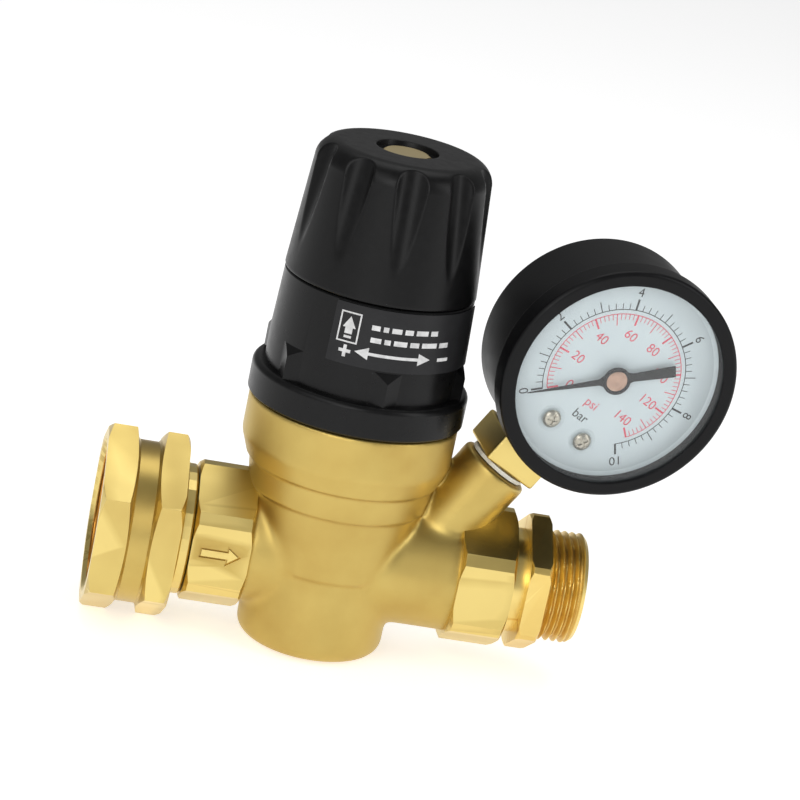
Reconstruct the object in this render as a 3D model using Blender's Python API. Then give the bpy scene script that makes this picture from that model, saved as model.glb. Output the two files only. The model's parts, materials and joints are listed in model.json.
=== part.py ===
"""Adjustable water pressure regulator with a swivel inlet nut and a dial gauge.

The origin is the centre of the inlet mouth on the flow axis. Water runs along +X,
the adjusting knob is up (+Z) and the dial looks towards -Y.
"""
import math

import bmesh
import bpy
from mathutils import Matrix, Vector

MM = 0.001

# ---------------------------------------------------------------- driving sizes (mm)
GAP = 0.3                     # standing clearance between two pieces that touch
ROUND_STEPS = 32              # facets of a large round piece
SMALL_STEPS = 14              # facets of a small round piece

# flow line, along X from the mouth of the swivel nut
NUT_LENGTH = 19.0
NUT_CORNER_RADIUS = 22.8
NUT_CHAMFER = 1.3
NUT_FRONT_HEX = 7.4
NUT_GROOVE_WIDTH = 5.2
NUT_GROOVE_RADIUS = 18.9
INLET_THREAD_RADIUS = 16.2
NUT_MOUTH_DEPTH = 13.0
TAILPIECE_RADIUS = 12.4
TAILPIECE_BORE = 8.6
FLANGE_THICKNESS = 2.5
WASHER_THICKNESS = 2.0
THRUST_RING_WIDTH = 2.6
THRUST_RING_RADIUS = 15.3
BOWL_AXIS_X = 54.5
INLET_HEX_LENGTH = 13.6
BODY_HEX_ACROSS_FLATS = 31.0
BODY_HEX_CORNER_FLAT = 3.0
NECK_RADIUS = 14.4
SPIGOT_RADIUS = 10.5
SPIGOT_LENGTH = 11.0
OUTLET_HEX_START = 30.0       # from the bowl's axis
OUTLET_HEX_LENGTH = 13.0
ADAPTER_NECK_LENGTH = 3.3
ADAPTER_NECK_RADIUS = 12.3
ADAPTER_HEX_LENGTH = 5.0
ADAPTER_ACROSS_FLATS = 30.0
OUTLET_THREAD_RADIUS = 13.2
OUTLET_THREAD_PITCH = 1.814
OUTLET_THREAD_TURNS = 5
ADAPTER_BORE = 8.0

# bowl and barrel, heights above the flow axis
BARREL_RADIUS = 17.3
BARREL_BASE = -22.0
BARREL_EDGE = 3.0
BOWL_BASE = -1.5
BOWL_BASE_RADIUS = 17.8
LOWER_RIDGE = 14.5
LOWER_RIDGE_RADIUS = 20.3
UPPER_RIDGE = 21.5
UPPER_RIDGE_RADIUS = 21.9
BOWL_SHOULDER = 26.5
BOWL_RADIUS = 24.5
BOWL_TOP = 36.5
PISTON_BORE = 6.2
PISTON_BORE_BASE = -18.0
INLET_CHAMBER_RADIUS = 11.0
INLET_CHAMBER_BASE = -10.0
SEAT_THREAD_RADIUS = 11.7
SEAT_WEB_BASE = 3.4
SEAT_WEB_TOP = 8.0
OUTLET_CHAMBER_RADIUS = 16.0
DIAPHRAGM_LEDGE = 26.0
DIAPHRAGM_POCKET_RADIUS = 20.4
INLET_PORT_RADIUS = 6.0
INLET_PORT_DROP = 3.3
OUTLET_PORT_RADIUS = 8.5
OUTLET_PORT_START = 16.5      # from the bowl's axis
RISER_RADIUS = 3.2
RISER_TOP = 12.0

# bonnet, spindle and knob
FLANGE_RADIUS = 25.2
FLANGE_HEIGHT = 7.7
FLANGE_EDGE = 1.5
BONNET_HEX_HEIGHT = 7.5
BONNET_HEX_RADIUS = 24.2
BONNET_HEX_TURN = 7.0         # degrees that a corner is turned from -Y towards +X
LABEL_CYLINDER_RADIUS = 22.6
LABEL_CYLINDER_TOP_RADIUS = 22.0
LABEL_CYLINDER_HEIGHT = 14.7
SPRING_CHAMBER_RADIUS = 15.5
SPRING_CHAMBER_TOP = 50.0
SLIDE_HEX_ACROSS_FLATS = 27.0
SLIDE_HEX_TOP = 78.6
COLLAR_POCKET_RADIUS = 9.8
TOWER_RADIUS = 17.0
TOWER_TOP = 86.0
TOWER_ROOF = 4.0
SPINDLE_RADIUS = 5.6
SPINDLE_COLLAR_RADIUS = 9.0
SPINDLE_COLLAR_HEIGHT = 1.8
SPINDLE_HEX_ACROSS_FLATS = 10.0
SPINDLE_RECESS = 0.7          # how far the spindle's end lies below the knob's top
TOOTH_ROOT_SHARE = 0.32       # half of a tooth's width at its root, as a share of the pitch
TOOTH_TIP_SHARE = 0.17
LOCK_TEETH = 12
LOCK_BORE = 17.3
LOCK_ROOT_RADIUS = 18.0
LOCK_TIP_RADIUS = 18.9
LOCK_HEIGHT = 3.6
KNOB_BASE_RADIUS = 22.2
KNOB_SHOULDER_RADIUS = 20.3
KNOB_TOP = 98.0
KNOB_EDGE = 5.0
KNOB_BORE = 17.6
KNOB_ROOF = 6.0
KNOB_POCKET_RADIUS = 7.2
KNOB_POCKET_DEPTH = 1.5
HUB_RADIUS = 9.5
FLUTES = 10
FLUTE_RADIUS = 5.5
FLUTE_DEPTH = 1.95
FLUTE_TIP = 74.0
SPRING_NUT_HEIGHT = 8.0
SPRING_NUT_BASE = 66.0
SPRING_WIRE_RADIUS = 1.6
SPRING_COIL_RADIUS = 10.9
SPRING_TURNS = 6.5
SPRING_STEPS = 12             # sections in each turn of the coil
LABEL_HEIGHT = 13.8
LABEL_HALF_ANGLE = 52.0
LABEL_TURN = 22.0             # degrees that the label's middle is turned from -Y towards +X
LABEL_THICKNESS = 0.25
LABEL_STEPS = 20

# valve
VALVE_LIFT = 1.4
STEM_RADIUS = 3.0
STEM_SHOULDER_RADIUS = 4.2
STEM_THREAD_RADIUS = 2.6
STEM_FLANGE_RADIUS = 9.0
STEM_FLANGE_THICKNESS = 1.8
SEAT_BORE = 7.0
SEAT_FLANGE_RADIUS = 13.0
SEAT_LIP_BASE = 3.0
DISC_RADIUS = 8.2
DISC_THICKNESS = 2.4
HOLDER_WALL = 0.8
PISTON_LENGTH = 11.0
DIAPHRAGM_THICKNESS = 1.0
SPRING_PLATE_RADIUS = 14.6
SPRING_PLATE_THICKNESS = 2.0

# gauge and its boss
BOSS_RADIUS = 8.65
BOSS_OFFSET = 19.7            # where the boss's axis meets the flow axis, from the bowl's axis
BOSS_SLOPE = 60.0             # degrees above +X
BOSS_LENGTH = 31.6
GAUGE_STEM_RADIUS = 5.0
GAUGE_THREAD_LENGTH = 8.5
GAUGE_CENTRE = 67.0           # along the boss's axis
GAUGE_TURN = 11.0             # degrees that the dial is turned about its stem, away from the bowl
GAUGE_BLOCK_WIDTH = 14.5
STEM_DEPTH = 8.0              # stem axis, in front of the case's back
CASE_RADIUS = 26.2
CASE_WALL = 1.0
CASE_DEPTH = 23.3
BEZEL_RADIUS = 28.0
BEZEL_BACK = 19.5
BEZEL_FRONT = 25.5
BEZEL_OPENING = 25.1
LENS_THICKNESS = 0.9
DIAL_RADIUS = 24.8
DIAL_BACK = 20.2
DIAL_THICKNESS = 0.6
DIAL_SCREW_ORBIT = 17.0
DIAL_SCREW_HALF_ANGLE = 17.0
DIAL_SCREW_RADIUS = 2.2
PLATE_THICKNESS = 0.8
BACK_PLATE = 12.8
FRONT_PLATE = 17.6
GEAR_MODULE = 0.4
PINION_TEETH = 10
SECTOR_TEETH = 60             # teeth that the sector would have as a whole wheel
SECTOR_DIRECTION = 225.0      # where the sector's pivot lies from the centre
GEAR_BACK = 14.6
GEAR_THICKNESS = 1.4
TOOTH_ADDENDUM = 0.75         # in modules
TOOTH_DEDENDUM = 1.1
PINION_TOOTH_RELIEF = 1.6     # degrees taken off each side of a pinion tooth
PLATE_LEFT = -12.8
PLATE_RIGHT = 6.6
PLATE_FOOT = -12.8
PLATE_HEAD = 5.2
PLATE_CORNER = -5.0           # where the sloping corner starts on both sides
PILLAR_PLACES = ((5.0, 3.6), (5.0, -11.2), (-3.6, 3.7))
PILLAR_RADIUS = 1.1
ARBOR_RADIUS = 0.7
ARBOR_TOP = 22.9
SECTOR_SHAFT_RADIUS = 0.8
TAIL_PIN_RADIUS = 0.6
POST_RADIUS = 0.9
POST_DROP = 2.3               # from the end of the tube's centreline
POST_NECK_RADIUS = 0.5
LINK_HALF_WIDTH = 1.9
HAIRSPRING_TURNS = 2.5
HAIRSPRING_STEPS = 26
HAIRSPRING_INNER = 1.3
HAIRSPRING_OUTER = 4.2
HAIRSPRING_THICKNESS = 0.18
HAIRSPRING_WIDTH = 0.25
POINTER_SWEEP = 270.0
TAIL_LENGTH = 4.5
TUBE_RADIUS = 17.0
TUBE_BACK = 4.5
TUBE_WIDTH = 6.5
TUBE_THICKNESS = 1.6
TUBE_START = -62.0            # degrees round the dial's centre
TUBE_END = 176.0
TUBE_STEPS = 26
POINTER_LENGTH = 21.0
POINTER_TAIL = 14.3
POINTER_ZERO = 225.0
POINTER_HUB_RADIUS = 3.0

# ---------------------------------------------------------------- places that follow
NUT_GROOVE_END = NUT_FRONT_HEX + NUT_GROOVE_WIDTH
FLANGE_END = NUT_MOUTH_DEPTH - GAP
FLANGE_START = FLANGE_END - FLANGE_THICKNESS
WASHER_START = FLANGE_START - GAP - WASHER_THICKNESS
THRUST_RING_START = NUT_LENGTH + GAP
BODY_START = THRUST_RING_START + THRUST_RING_WIDTH + GAP
INLET_HEX_END = BODY_START + INLET_HEX_LENGTH
OUTLET_HEX_X = BOWL_AXIS_X + OUTLET_HEX_START
BODY_END = OUTLET_HEX_X + OUTLET_HEX_LENGTH
ADAPTER_HEX_X = BODY_END + ADAPTER_NECK_LENGTH
OUTLET_THREAD_X = ADAPTER_HEX_X + ADAPTER_HEX_LENGTH
OUTLET_END = OUTLET_THREAD_X + OUTLET_THREAD_PITCH * OUTLET_THREAD_TURNS + 0.3

BONNET_BASE = BOWL_TOP + GAP
DIAPHRAGM_BASE = DIAPHRAGM_LEDGE + GAP
DIAPHRAGM_TOP = DIAPHRAGM_BASE + DIAPHRAGM_THICKNESS
SLIP_RING_BASE = DIAPHRAGM_TOP + GAP
SLIP_RING_TOP = SLIP_RING_BASE + 0.7
SPIGOT_BASE = SLIP_RING_TOP + GAP
BONNET_HEX_BASE = BONNET_BASE + FLANGE_HEIGHT
LABEL_CYLINDER_BASE = BONNET_HEX_BASE + BONNET_HEX_HEIGHT
LABEL_CYLINDER_TOP = LABEL_CYLINDER_BASE + LABEL_CYLINDER_HEIGHT
KNOB_BASE = LABEL_CYLINDER_TOP + GAP
TOWER_BASE = LABEL_CYLINDER_TOP + GAP
ROOF_BASE = TOWER_TOP - TOWER_ROOF
THRUST_WASHER_TOP = ROOF_BASE - GAP
THRUST_WASHER_BASE = THRUST_WASHER_TOP - 0.8
COLLAR_TOP = THRUST_WASHER_BASE - GAP
COLLAR_BASE = COLLAR_TOP - SPINDLE_COLLAR_HEIGHT
KNOB_CEILING = KNOB_TOP - KNOB_ROOF
HUB_BASE = TOWER_TOP + 2.0
SPINDLE_TOP = KNOB_TOP - SPINDLE_RECESS

DISC_TOP = SEAT_LIP_BASE - VALVE_LIFT - 0.4
DISC_BASE = DISC_TOP - DISC_THICKNESS
HOLDER_FLOOR = DISC_BASE - GAP
HOLDER_BASE = HOLDER_FLOOR - 2.5
PISTON_BASE = HOLDER_BASE - PISTON_LENGTH
DISC_WASHER_BASE = DISC_TOP + GAP
STEM_SHOULDER = DISC_WASHER_BASE + 0.6 + GAP
STEM_FLANGE_TOP = DIAPHRAGM_BASE - GAP
STEM_FLANGE_BASE = STEM_FLANGE_TOP - STEM_FLANGE_THICKNESS
SPRING_PLATE_BASE = DIAPHRAGM_TOP + GAP
SPRING_PLATE_TOP = SPRING_PLATE_BASE + SPRING_PLATE_THICKNESS
STEM_NUT_BASE = SPRING_PLATE_TOP + GAP
STEM_NUT_TOP = STEM_NUT_BASE + 3.2
STEM_TOP = STEM_NUT_TOP + 1.0

BOWL_FRAME = Matrix.Translation((BOWL_AXIS_X * MM, 0, 0))
FLOW_FRAME = Matrix.Rotation(math.radians(90), 4, "Y")
BOSS_DIRECTION = Vector((math.cos(math.radians(BOSS_SLOPE)), 0, math.sin(math.radians(BOSS_SLOPE))))
BOSS_ACROSS = Vector((BOSS_DIRECTION.z, 0, -BOSS_DIRECTION.x))
DIAL_NORMAL = (Vector((0, -1, 0)) * math.cos(math.radians(GAUGE_TURN))
               + BOSS_ACROSS * math.sin(math.radians(GAUGE_TURN)))
BOSS_FOOT = Vector(((BOWL_AXIS_X + BOSS_OFFSET) * MM, 0, 0))


def frame_from_axes(across, up, out, origin):
    """A matrix whose X, Y and Z axes are the three given directions."""
    turn = Matrix((across, up, out)).transposed().to_4x4()
    return Matrix.Translation(origin) @ turn


BOSS_FRAME = frame_from_axes(BOSS_ACROSS, Vector((0, 1, 0)), BOSS_DIRECTION, BOSS_FOOT)
GAUGE_FRAME = frame_from_axes(
    BOSS_DIRECTION.cross(DIAL_NORMAL), BOSS_DIRECTION, DIAL_NORMAL,
    BOSS_FOOT + BOSS_DIRECTION * GAUGE_CENTRE * MM - DIAL_NORMAL * STEM_DEPTH * MM)


# ---------------------------------------------------------------- materials
def make_material(name, color, roughness, metallic):
    material = bpy.data.materials.new(name)
    material.use_nodes = True
    shader = material.node_tree.nodes["Principled BSDF"]
    shader.inputs["Base Color"].default_value = (*color, 1.0)
    shader.inputs["Roughness"].default_value = roughness
    shader.inputs["Metallic"].default_value = metallic
    return material


FINISHES = {
    "brass": ((0.80, 0.60, 0.28), 0.34, 1.0),
    "black_plastic": ((0.020, 0.020, 0.022), 0.42, 0.0),
    "black_paint": ((0.015, 0.015, 0.017), 0.30, 0.3),
    "label_film": ((0.07, 0.07, 0.075), 0.50, 0.0),
    "rubber": ((0.03, 0.03, 0.03), 0.75, 0.0),
    "steel": ((0.62, 0.62, 0.64), 0.30, 1.0),
    "dial_enamel": ((0.86, 0.91, 0.93), 0.45, 0.0),
    "clear_lens": ((0.95, 0.97, 0.98), 0.05, 0.0),
    "nylon": ((0.85, 0.84, 0.80), 0.5, 0.0),
    "copper": ((0.62, 0.38, 0.22), 0.3, 1.0),
}


# ---------------------------------------------------------------- modelling helpers
def add_object(name, bm, finish, frame=Matrix.Identity(4), parent=None):
    """Turn a bmesh into a named object with its own material."""
    bmesh.ops.recalc_face_normals(bm, faces=bm.faces)
    mesh = bpy.data.meshes.new(name)
    bm.to_mesh(mesh)
    bm.free()
    mesh.materials.append(make_material(name, *FINISHES[finish]))
    mesh.shade_smooth()
    mesh.set_sharp_from_angle(angle=math.radians(32))
    obj = bpy.data.objects.new(name, mesh)
    bpy.context.scene.collection.objects.link(obj)
    obj.parent = parent
    obj.matrix_local = frame
    return obj


def spin_outline(outline, steps):
    """Spin a radius and height outline once round Z. It is closed unless its ends lie on the axis."""
    bm = bmesh.new()
    points = [bm.verts.new((radius * MM, 0, height * MM)) for radius, height in outline]
    pairs = list(zip(points, points[1:]))
    if outline[0][0] > 0 or outline[-1][0] > 0:
        pairs.append((points[-1], points[0]))
    edges = [bm.edges.new(pair) for pair in pairs]
    bmesh.ops.spin(bm, geom=points + edges, axis=(0, 0, 1), cent=(0, 0, 0),
                   angle=math.tau, steps=steps, use_merge=True)
    bmesh.ops.remove_doubles(bm, verts=bm.verts, dist=1e-6)
    return bm


def turned(name, outline, finish, frame=BOWL_FRAME, steps=ROUND_STEPS, parent=None):
    return add_object(name, spin_outline(outline, steps), finish, frame, parent)


def tube(inner, outer, base, top):
    """The closed outline of a plain ring."""
    return [(outer, top), (outer, base), (inner, base), (inner, top)]


def arc(centre, radius, start, end, steps):
    """Points on a circle in an outline, with angles in degrees from the radius axis."""
    angles = [math.radians(start + (end - start) * i / steps) for i in range(steps + 1)]
    return [(centre[0] + radius * math.cos(a), centre[1] + radius * math.sin(a)) for a in angles]


def polygon(sides, radius, start=0.0):
    """Corners of a regular polygon, with the first at the start angle in degrees."""
    angles = [math.radians(start + 360.0 * i / sides) for i in range(sides)]
    return [(radius * math.cos(a), radius * math.sin(a)) for a in angles]


def hexagon(across_flats, start=0.0):
    return polygon(6, across_flats / 2 / math.cos(math.radians(30)), start)


def cut_corner_hexagon(across_flats, corner_flat, start=0.0):
    """A hexagon whose corners are cut to small flats of a given width."""
    distance = (across_flats / 2 - corner_flat / 4) / math.cos(math.radians(30))
    points = []
    for corner in range(6):
        a = math.radians(start + 60.0 * corner)
        for side in (-corner_flat / 2, corner_flat / 2):
            points.append((distance * math.cos(a) - side * math.sin(a),
                           distance * math.sin(a) + side * math.cos(a)))
    return points


def prism(outline, base, top, hole=None):
    """Extrude an outline in X and Y from base to top, with an optional hole of equal point count."""
    bm = bmesh.new()
    lower = [bm.verts.new((x * MM, y * MM, base * MM)) for x, y in outline]
    upper = [bm.verts.new((x * MM, y * MM, top * MM)) for x, y in outline]
    loops = [(lower, upper)]
    if hole:
        lower_hole = [bm.verts.new((x * MM, y * MM, base * MM)) for x, y in hole]
        upper_hole = [bm.verts.new((x * MM, y * MM, top * MM)) for x, y in hole]
        loops.append((lower_hole, upper_hole))
    count = len(outline)
    for low, high in loops:
        for i in range(count):
            j = (i + 1) % count
            bm.faces.new((low[i], low[j], high[j], high[i]))
    for level in (0, 1):
        if hole:
            for i in range(count):
                j = (i + 1) % count
                bm.faces.new((loops[0][level][i], loops[0][level][j], loops[1][level][j], loops[1][level][i]))
        else:
            bm.faces.new(loops[0][level])
    return bm


def hex_ring(across_flats, outer_radius, base, top, start=0.0, corner_flat=0.0):
    """A ring with a hexagonal hole, which cuts flats on a round collar."""
    if corner_flat:
        inner = cut_corner_hexagon(across_flats, corner_flat, start)
        first = math.degrees(math.atan2(inner[0][1], inner[0][0]))
        outer = polygon(12, outer_radius, first)
    else:
        inner = hexagon(across_flats, start)
        outer = polygon(6, outer_radius / math.cos(math.radians(30)), start)
    return prism(outer, base, top, inner)


def box(low, high):
    bm = bmesh.new()
    size = [(b - a) * MM for a, b in zip(low, high)]
    centre = [(a + b) / 2 * MM for a, b in zip(low, high)]
    bmesh.ops.create_cube(bm, size=1.0, matrix=Matrix.Translation(centre) @ Matrix.Diagonal((*size, 1)))
    return bm


def cutter(name, bm, frame=BOWL_FRAME, parent=None):
    """A hidden closed shape for a Boolean modifier."""
    obj = add_object(name, bm, "steel", frame, parent)
    obj.hide_render = True
    obj.display_type = "WIRE"
    return obj


def combine(obj, operation, *others):
    for other in others:
        modifier = obj.modifiers.new(f"{operation}_{other.name}", "BOOLEAN")
        modifier.operation = operation
        modifier.solver = "EXACT"
        modifier.object = other


def pin(radius, base, top, x=0.0, y=0.0, steps=SMALL_STEPS):
    """A plain round pin, standing at x and y."""
    bm = spin_outline([(0, top), (radius, top), (radius, base), (0, base)], steps)
    bmesh.ops.translate(bm, verts=bm.verts, vec=(x * MM, y * MM, 0))
    return bm


def thread_outline(radius, start, turns, pitch, depth):
    """Crests of a pipe thread as rings, from the far end back to the start."""
    points = []
    for turn in reversed(range(turns)):
        foot = start + turn * pitch
        points += [(radius - depth, foot + 0.95 * pitch), (radius, foot + 0.50 * pitch)]
    return points


def swept(rings):
    """A closed body through rings of points in millimetres, with flat ends."""
    bm = bmesh.new()
    loops = [[bm.verts.new(Vector(point) * MM) for point in ring] for ring in rings]
    for first, second in zip(loops, loops[1:]):
        for side in range(len(first)):
            after = (side + 1) % len(first)
            bm.faces.new((first[side], first[after], second[after], second[side]))
    bm.faces.new(loops[0])
    bm.faces.new(loops[-1])
    return bm


def tooth_outline(teeth, root, tip, widen=0.0, start=0.0):
    """A ring of flat-topped teeth. Widen is the angle in degrees added to each side of a tooth."""
    pitch = 360.0 / teeth
    points = []
    for tooth in range(teeth):
        middle = start + tooth * pitch
        for radius, share in ((root, -TOOTH_ROOT_SHARE), (tip, -TOOTH_TIP_SHARE),
                              (tip, TOOTH_TIP_SHARE), (root, TOOTH_ROOT_SHARE)):
            a = math.radians(middle + share * pitch + math.copysign(widen, share))
            points.append((radius * math.cos(a), radius * math.sin(a)))
    return points


# ---------------------------------------------------------------- body
def body_arms():
    """The two arms, with round collars where the hexagons are cut."""
    corner = BODY_HEX_ACROSS_FLATS / 2 / math.cos(math.radians(30))
    chamfer = 0.8
    outline = [
        (0, BODY_END), (corner - chamfer, BODY_END), (corner, BODY_END - chamfer),
        (corner, OUTLET_HEX_X + chamfer), (corner - 2 * chamfer, OUTLET_HEX_X), (NECK_RADIUS, OUTLET_HEX_X),
        (NECK_RADIUS, INLET_HEX_END), (corner - 2 * chamfer, INLET_HEX_END), (corner, INLET_HEX_END - chamfer),
        (corner, BODY_START + chamfer), (corner - chamfer, BODY_START), (0, BODY_START),
    ]
    return turned("body", outline, "brass", FLOW_FRAME)


def bowl_outline():
    edge = arc((BARREL_RADIUS - BARREL_EDGE, BARREL_BASE + BARREL_EDGE), BARREL_EDGE, 0, -90, 3)
    step = 0.35
    return [
        (0, BOWL_TOP), (BOWL_RADIUS - 0.4, BOWL_TOP), (BOWL_RADIUS, BOWL_TOP - 0.4),
        (BOWL_RADIUS, BOWL_SHOULDER), (BOWL_RADIUS - 0.5, BOWL_SHOULDER - 1.6),
        (UPPER_RIDGE_RADIUS + 0.7, UPPER_RIDGE + 1.2), (UPPER_RIDGE_RADIUS + step, UPPER_RIDGE),
        (UPPER_RIDGE_RADIUS, UPPER_RIDGE - step),
        (LOWER_RIDGE_RADIUS + step, LOWER_RIDGE), (LOWER_RIDGE_RADIUS, LOWER_RIDGE - step),
        (BOWL_BASE_RADIUS, BOWL_BASE), (BARREL_RADIUS, BOWL_BASE - 0.5),
    ] + edge + [(0, BARREL_BASE)]


def make_body():
    body = body_arms()
    for name, start, end in (("inlet", BODY_START, INLET_HEX_END), ("outlet", OUTLET_HEX_X, BODY_END)):
        flats = hex_ring(BODY_HEX_ACROSS_FLATS, 24.0, start - 0.2, end + 0.2, 0.0, BODY_HEX_CORNER_FLAT)
        combine(body, "DIFFERENCE", cutter(f"cut_{name}_flats", flats, FLOW_FRAME))
    combine(body, "UNION", cutter("bowl_blank", spin_outline(bowl_outline(), ROUND_STEPS)))
    boss = [(0, BOSS_LENGTH), (BOSS_RADIUS - 0.5, BOSS_LENGTH), (BOSS_RADIUS, BOSS_LENGTH - 0.5),
            (BOSS_RADIUS, 3.0), (0, 3.0)]
    combine(body, "UNION", cutter("boss_blank", spin_outline(boss, 20), BOSS_FRAME))
    chamber = [
        (0, BOWL_TOP + 1), (DIAPHRAGM_POCKET_RADIUS, BOWL_TOP + 1), (DIAPHRAGM_POCKET_RADIUS, DIAPHRAGM_LEDGE),
        (OUTLET_CHAMBER_RADIUS, DIAPHRAGM_LEDGE), (OUTLET_CHAMBER_RADIUS, SEAT_WEB_TOP),
        (SEAT_THREAD_RADIUS, SEAT_WEB_TOP), (SEAT_THREAD_RADIUS, SEAT_WEB_BASE),
        (INLET_CHAMBER_RADIUS, SEAT_WEB_BASE), (INLET_CHAMBER_RADIUS, INLET_CHAMBER_BASE),
        (PISTON_BORE, INLET_CHAMBER_BASE), (PISTON_BORE, PISTON_BORE_BASE), (0, PISTON_BORE_BASE),
    ]
    combine(body, "DIFFERENCE", cutter("cut_chamber", spin_outline(chamber, 24)))
    socket_end = BODY_START + SPIGOT_LENGTH + 0.5
    socket = [(0, socket_end), (SPIGOT_RADIUS + GAP, socket_end), (SPIGOT_RADIUS + GAP, BODY_START - 1),
              (0, BODY_START - 1)]
    combine(body, "DIFFERENCE", cutter("cut_inlet_socket", spin_outline(socket, 24), FLOW_FRAME))
    port = pin(INLET_PORT_RADIUS, socket_end - 0.5, BOWL_AXIS_X - 6, x=INLET_PORT_DROP, steps=16)
    combine(body, "DIFFERENCE", cutter("cut_inlet_port", port, FLOW_FRAME))
    riser = pin(RISER_RADIUS, -2.0, RISER_TOP, x=OUTLET_PORT_START + 0.5, steps=10)
    combine(body, "DIFFERENCE", cutter("cut_riser", riser))
    outlet = [(0, BODY_END + 1), (SPIGOT_RADIUS + GAP, BODY_END + 1), (SPIGOT_RADIUS + GAP, BODY_END - 10),
              (OUTLET_PORT_RADIUS, BODY_END - 10), (OUTLET_PORT_RADIUS, BOWL_AXIS_X + OUTLET_PORT_START),
              (0, BOWL_AXIS_X + OUTLET_PORT_START)]
    combine(body, "DIFFERENCE", cutter("cut_outlet_port", spin_outline(outlet, 24), FLOW_FRAME))
    gauge_socket = [(0, BOSS_LENGTH + 1), (GAUGE_STEM_RADIUS + GAP, BOSS_LENGTH + 1),
                    (GAUGE_STEM_RADIUS + GAP, BOSS_LENGTH - GAUGE_THREAD_LENGTH - 0.5),
                    (2.2, BOSS_LENGTH - GAUGE_THREAD_LENGTH - 0.5), (2.2, 5.0), (0, 5.0)]
    combine(body, "DIFFERENCE", cutter("cut_gauge_socket", spin_outline(gauge_socket, 16), BOSS_FRAME))


# ---------------------------------------------------------------- inlet and outlet
def make_inlet():
    bore = INLET_THREAD_RADIUS
    mouth = bore + 1.0
    corner = NUT_CORNER_RADIUS
    blank = [
        (corner - NUT_CHAMFER, NUT_LENGTH), (corner, NUT_LENGTH - NUT_CHAMFER * 0.6),
        (corner, NUT_GROOVE_END + 0.7), (NUT_GROOVE_RADIUS + 0.3, NUT_GROOVE_END),
        (NUT_GROOVE_RADIUS, NUT_GROOVE_END - 0.3), (NUT_GROOVE_RADIUS, NUT_FRONT_HEX + 0.3),
        (NUT_GROOVE_RADIUS + 0.3, NUT_FRONT_HEX), (corner, NUT_FRONT_HEX - 0.7),
        (corner, NUT_CHAMFER * 0.6), (corner - NUT_CHAMFER, 0), (mouth, 0), (bore, 1.0),
        (bore, NUT_MOUTH_DEPTH), (TAILPIECE_RADIUS + GAP, NUT_MOUTH_DEPTH), (TAILPIECE_RADIUS + GAP, NUT_LENGTH),
    ]
    nut = turned("swivel_nut", blank, "brass", FLOW_FRAME)
    flats = prism(polygon(6, corner, 0.0), -1, NUT_LENGTH + 1)
    combine(nut, "INTERSECT", cutter("cut_nut_flats", flats, FLOW_FRAME))

    flange = bore - GAP
    tailpiece = [
        (flange, FLANGE_START), (TAILPIECE_BORE + 1.1, FLANGE_START), (TAILPIECE_BORE + 1.1, FLANGE_START + 1.2),
        (TAILPIECE_BORE, FLANGE_START + 1.2), (TAILPIECE_BORE, BODY_START + SPIGOT_LENGTH),
        (SPIGOT_RADIUS, BODY_START + SPIGOT_LENGTH), (SPIGOT_RADIUS, BODY_START - GAP),
        (TAILPIECE_RADIUS, BODY_START - GAP), (TAILPIECE_RADIUS, FLANGE_END), (flange, FLANGE_END),
    ]
    turned("inlet_tailpiece", tailpiece, "brass", FLOW_FRAME, 20)
    ring = [(THRUST_RING_RADIUS - 0.4, THRUST_RING_START + THRUST_RING_WIDTH),
            (THRUST_RING_RADIUS, THRUST_RING_START + THRUST_RING_WIDTH - 0.4),
            (THRUST_RING_RADIUS, THRUST_RING_START + 0.4), (THRUST_RING_RADIUS - 0.4, THRUST_RING_START),
            (TAILPIECE_RADIUS + GAP, THRUST_RING_START), (TAILPIECE_RADIUS + GAP, BODY_START - GAP)]
    turned("thrust_ring", ring, "brass", FLOW_FRAME)
    washer = tube(TAILPIECE_BORE, flange, WASHER_START, WASHER_START + WASHER_THICKNESS)
    turned("inlet_washer", washer, "rubber", FLOW_FRAME, 20)
    screen_rim = TAILPIECE_BORE + 1.1 - GAP
    screen_wall = TAILPIECE_BORE - GAP
    screen = [(screen_rim, FLANGE_START + 0.1), (screen_rim, FLANGE_START + 0.9),
              (screen_wall, FLANGE_START + 0.9), (screen_wall - 2.0, FLANGE_START + 12.0), (0, FLANGE_START + 12.0)]
    inside = [(0, FLANGE_START + 11.4), (screen_wall - 2.5, FLANGE_START + 11.4),
              (screen_wall - 0.6, FLANGE_START + 0.1)]
    turned("inlet_screen", screen + inside, "steel", FLOW_FRAME, SMALL_STEPS)


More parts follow.
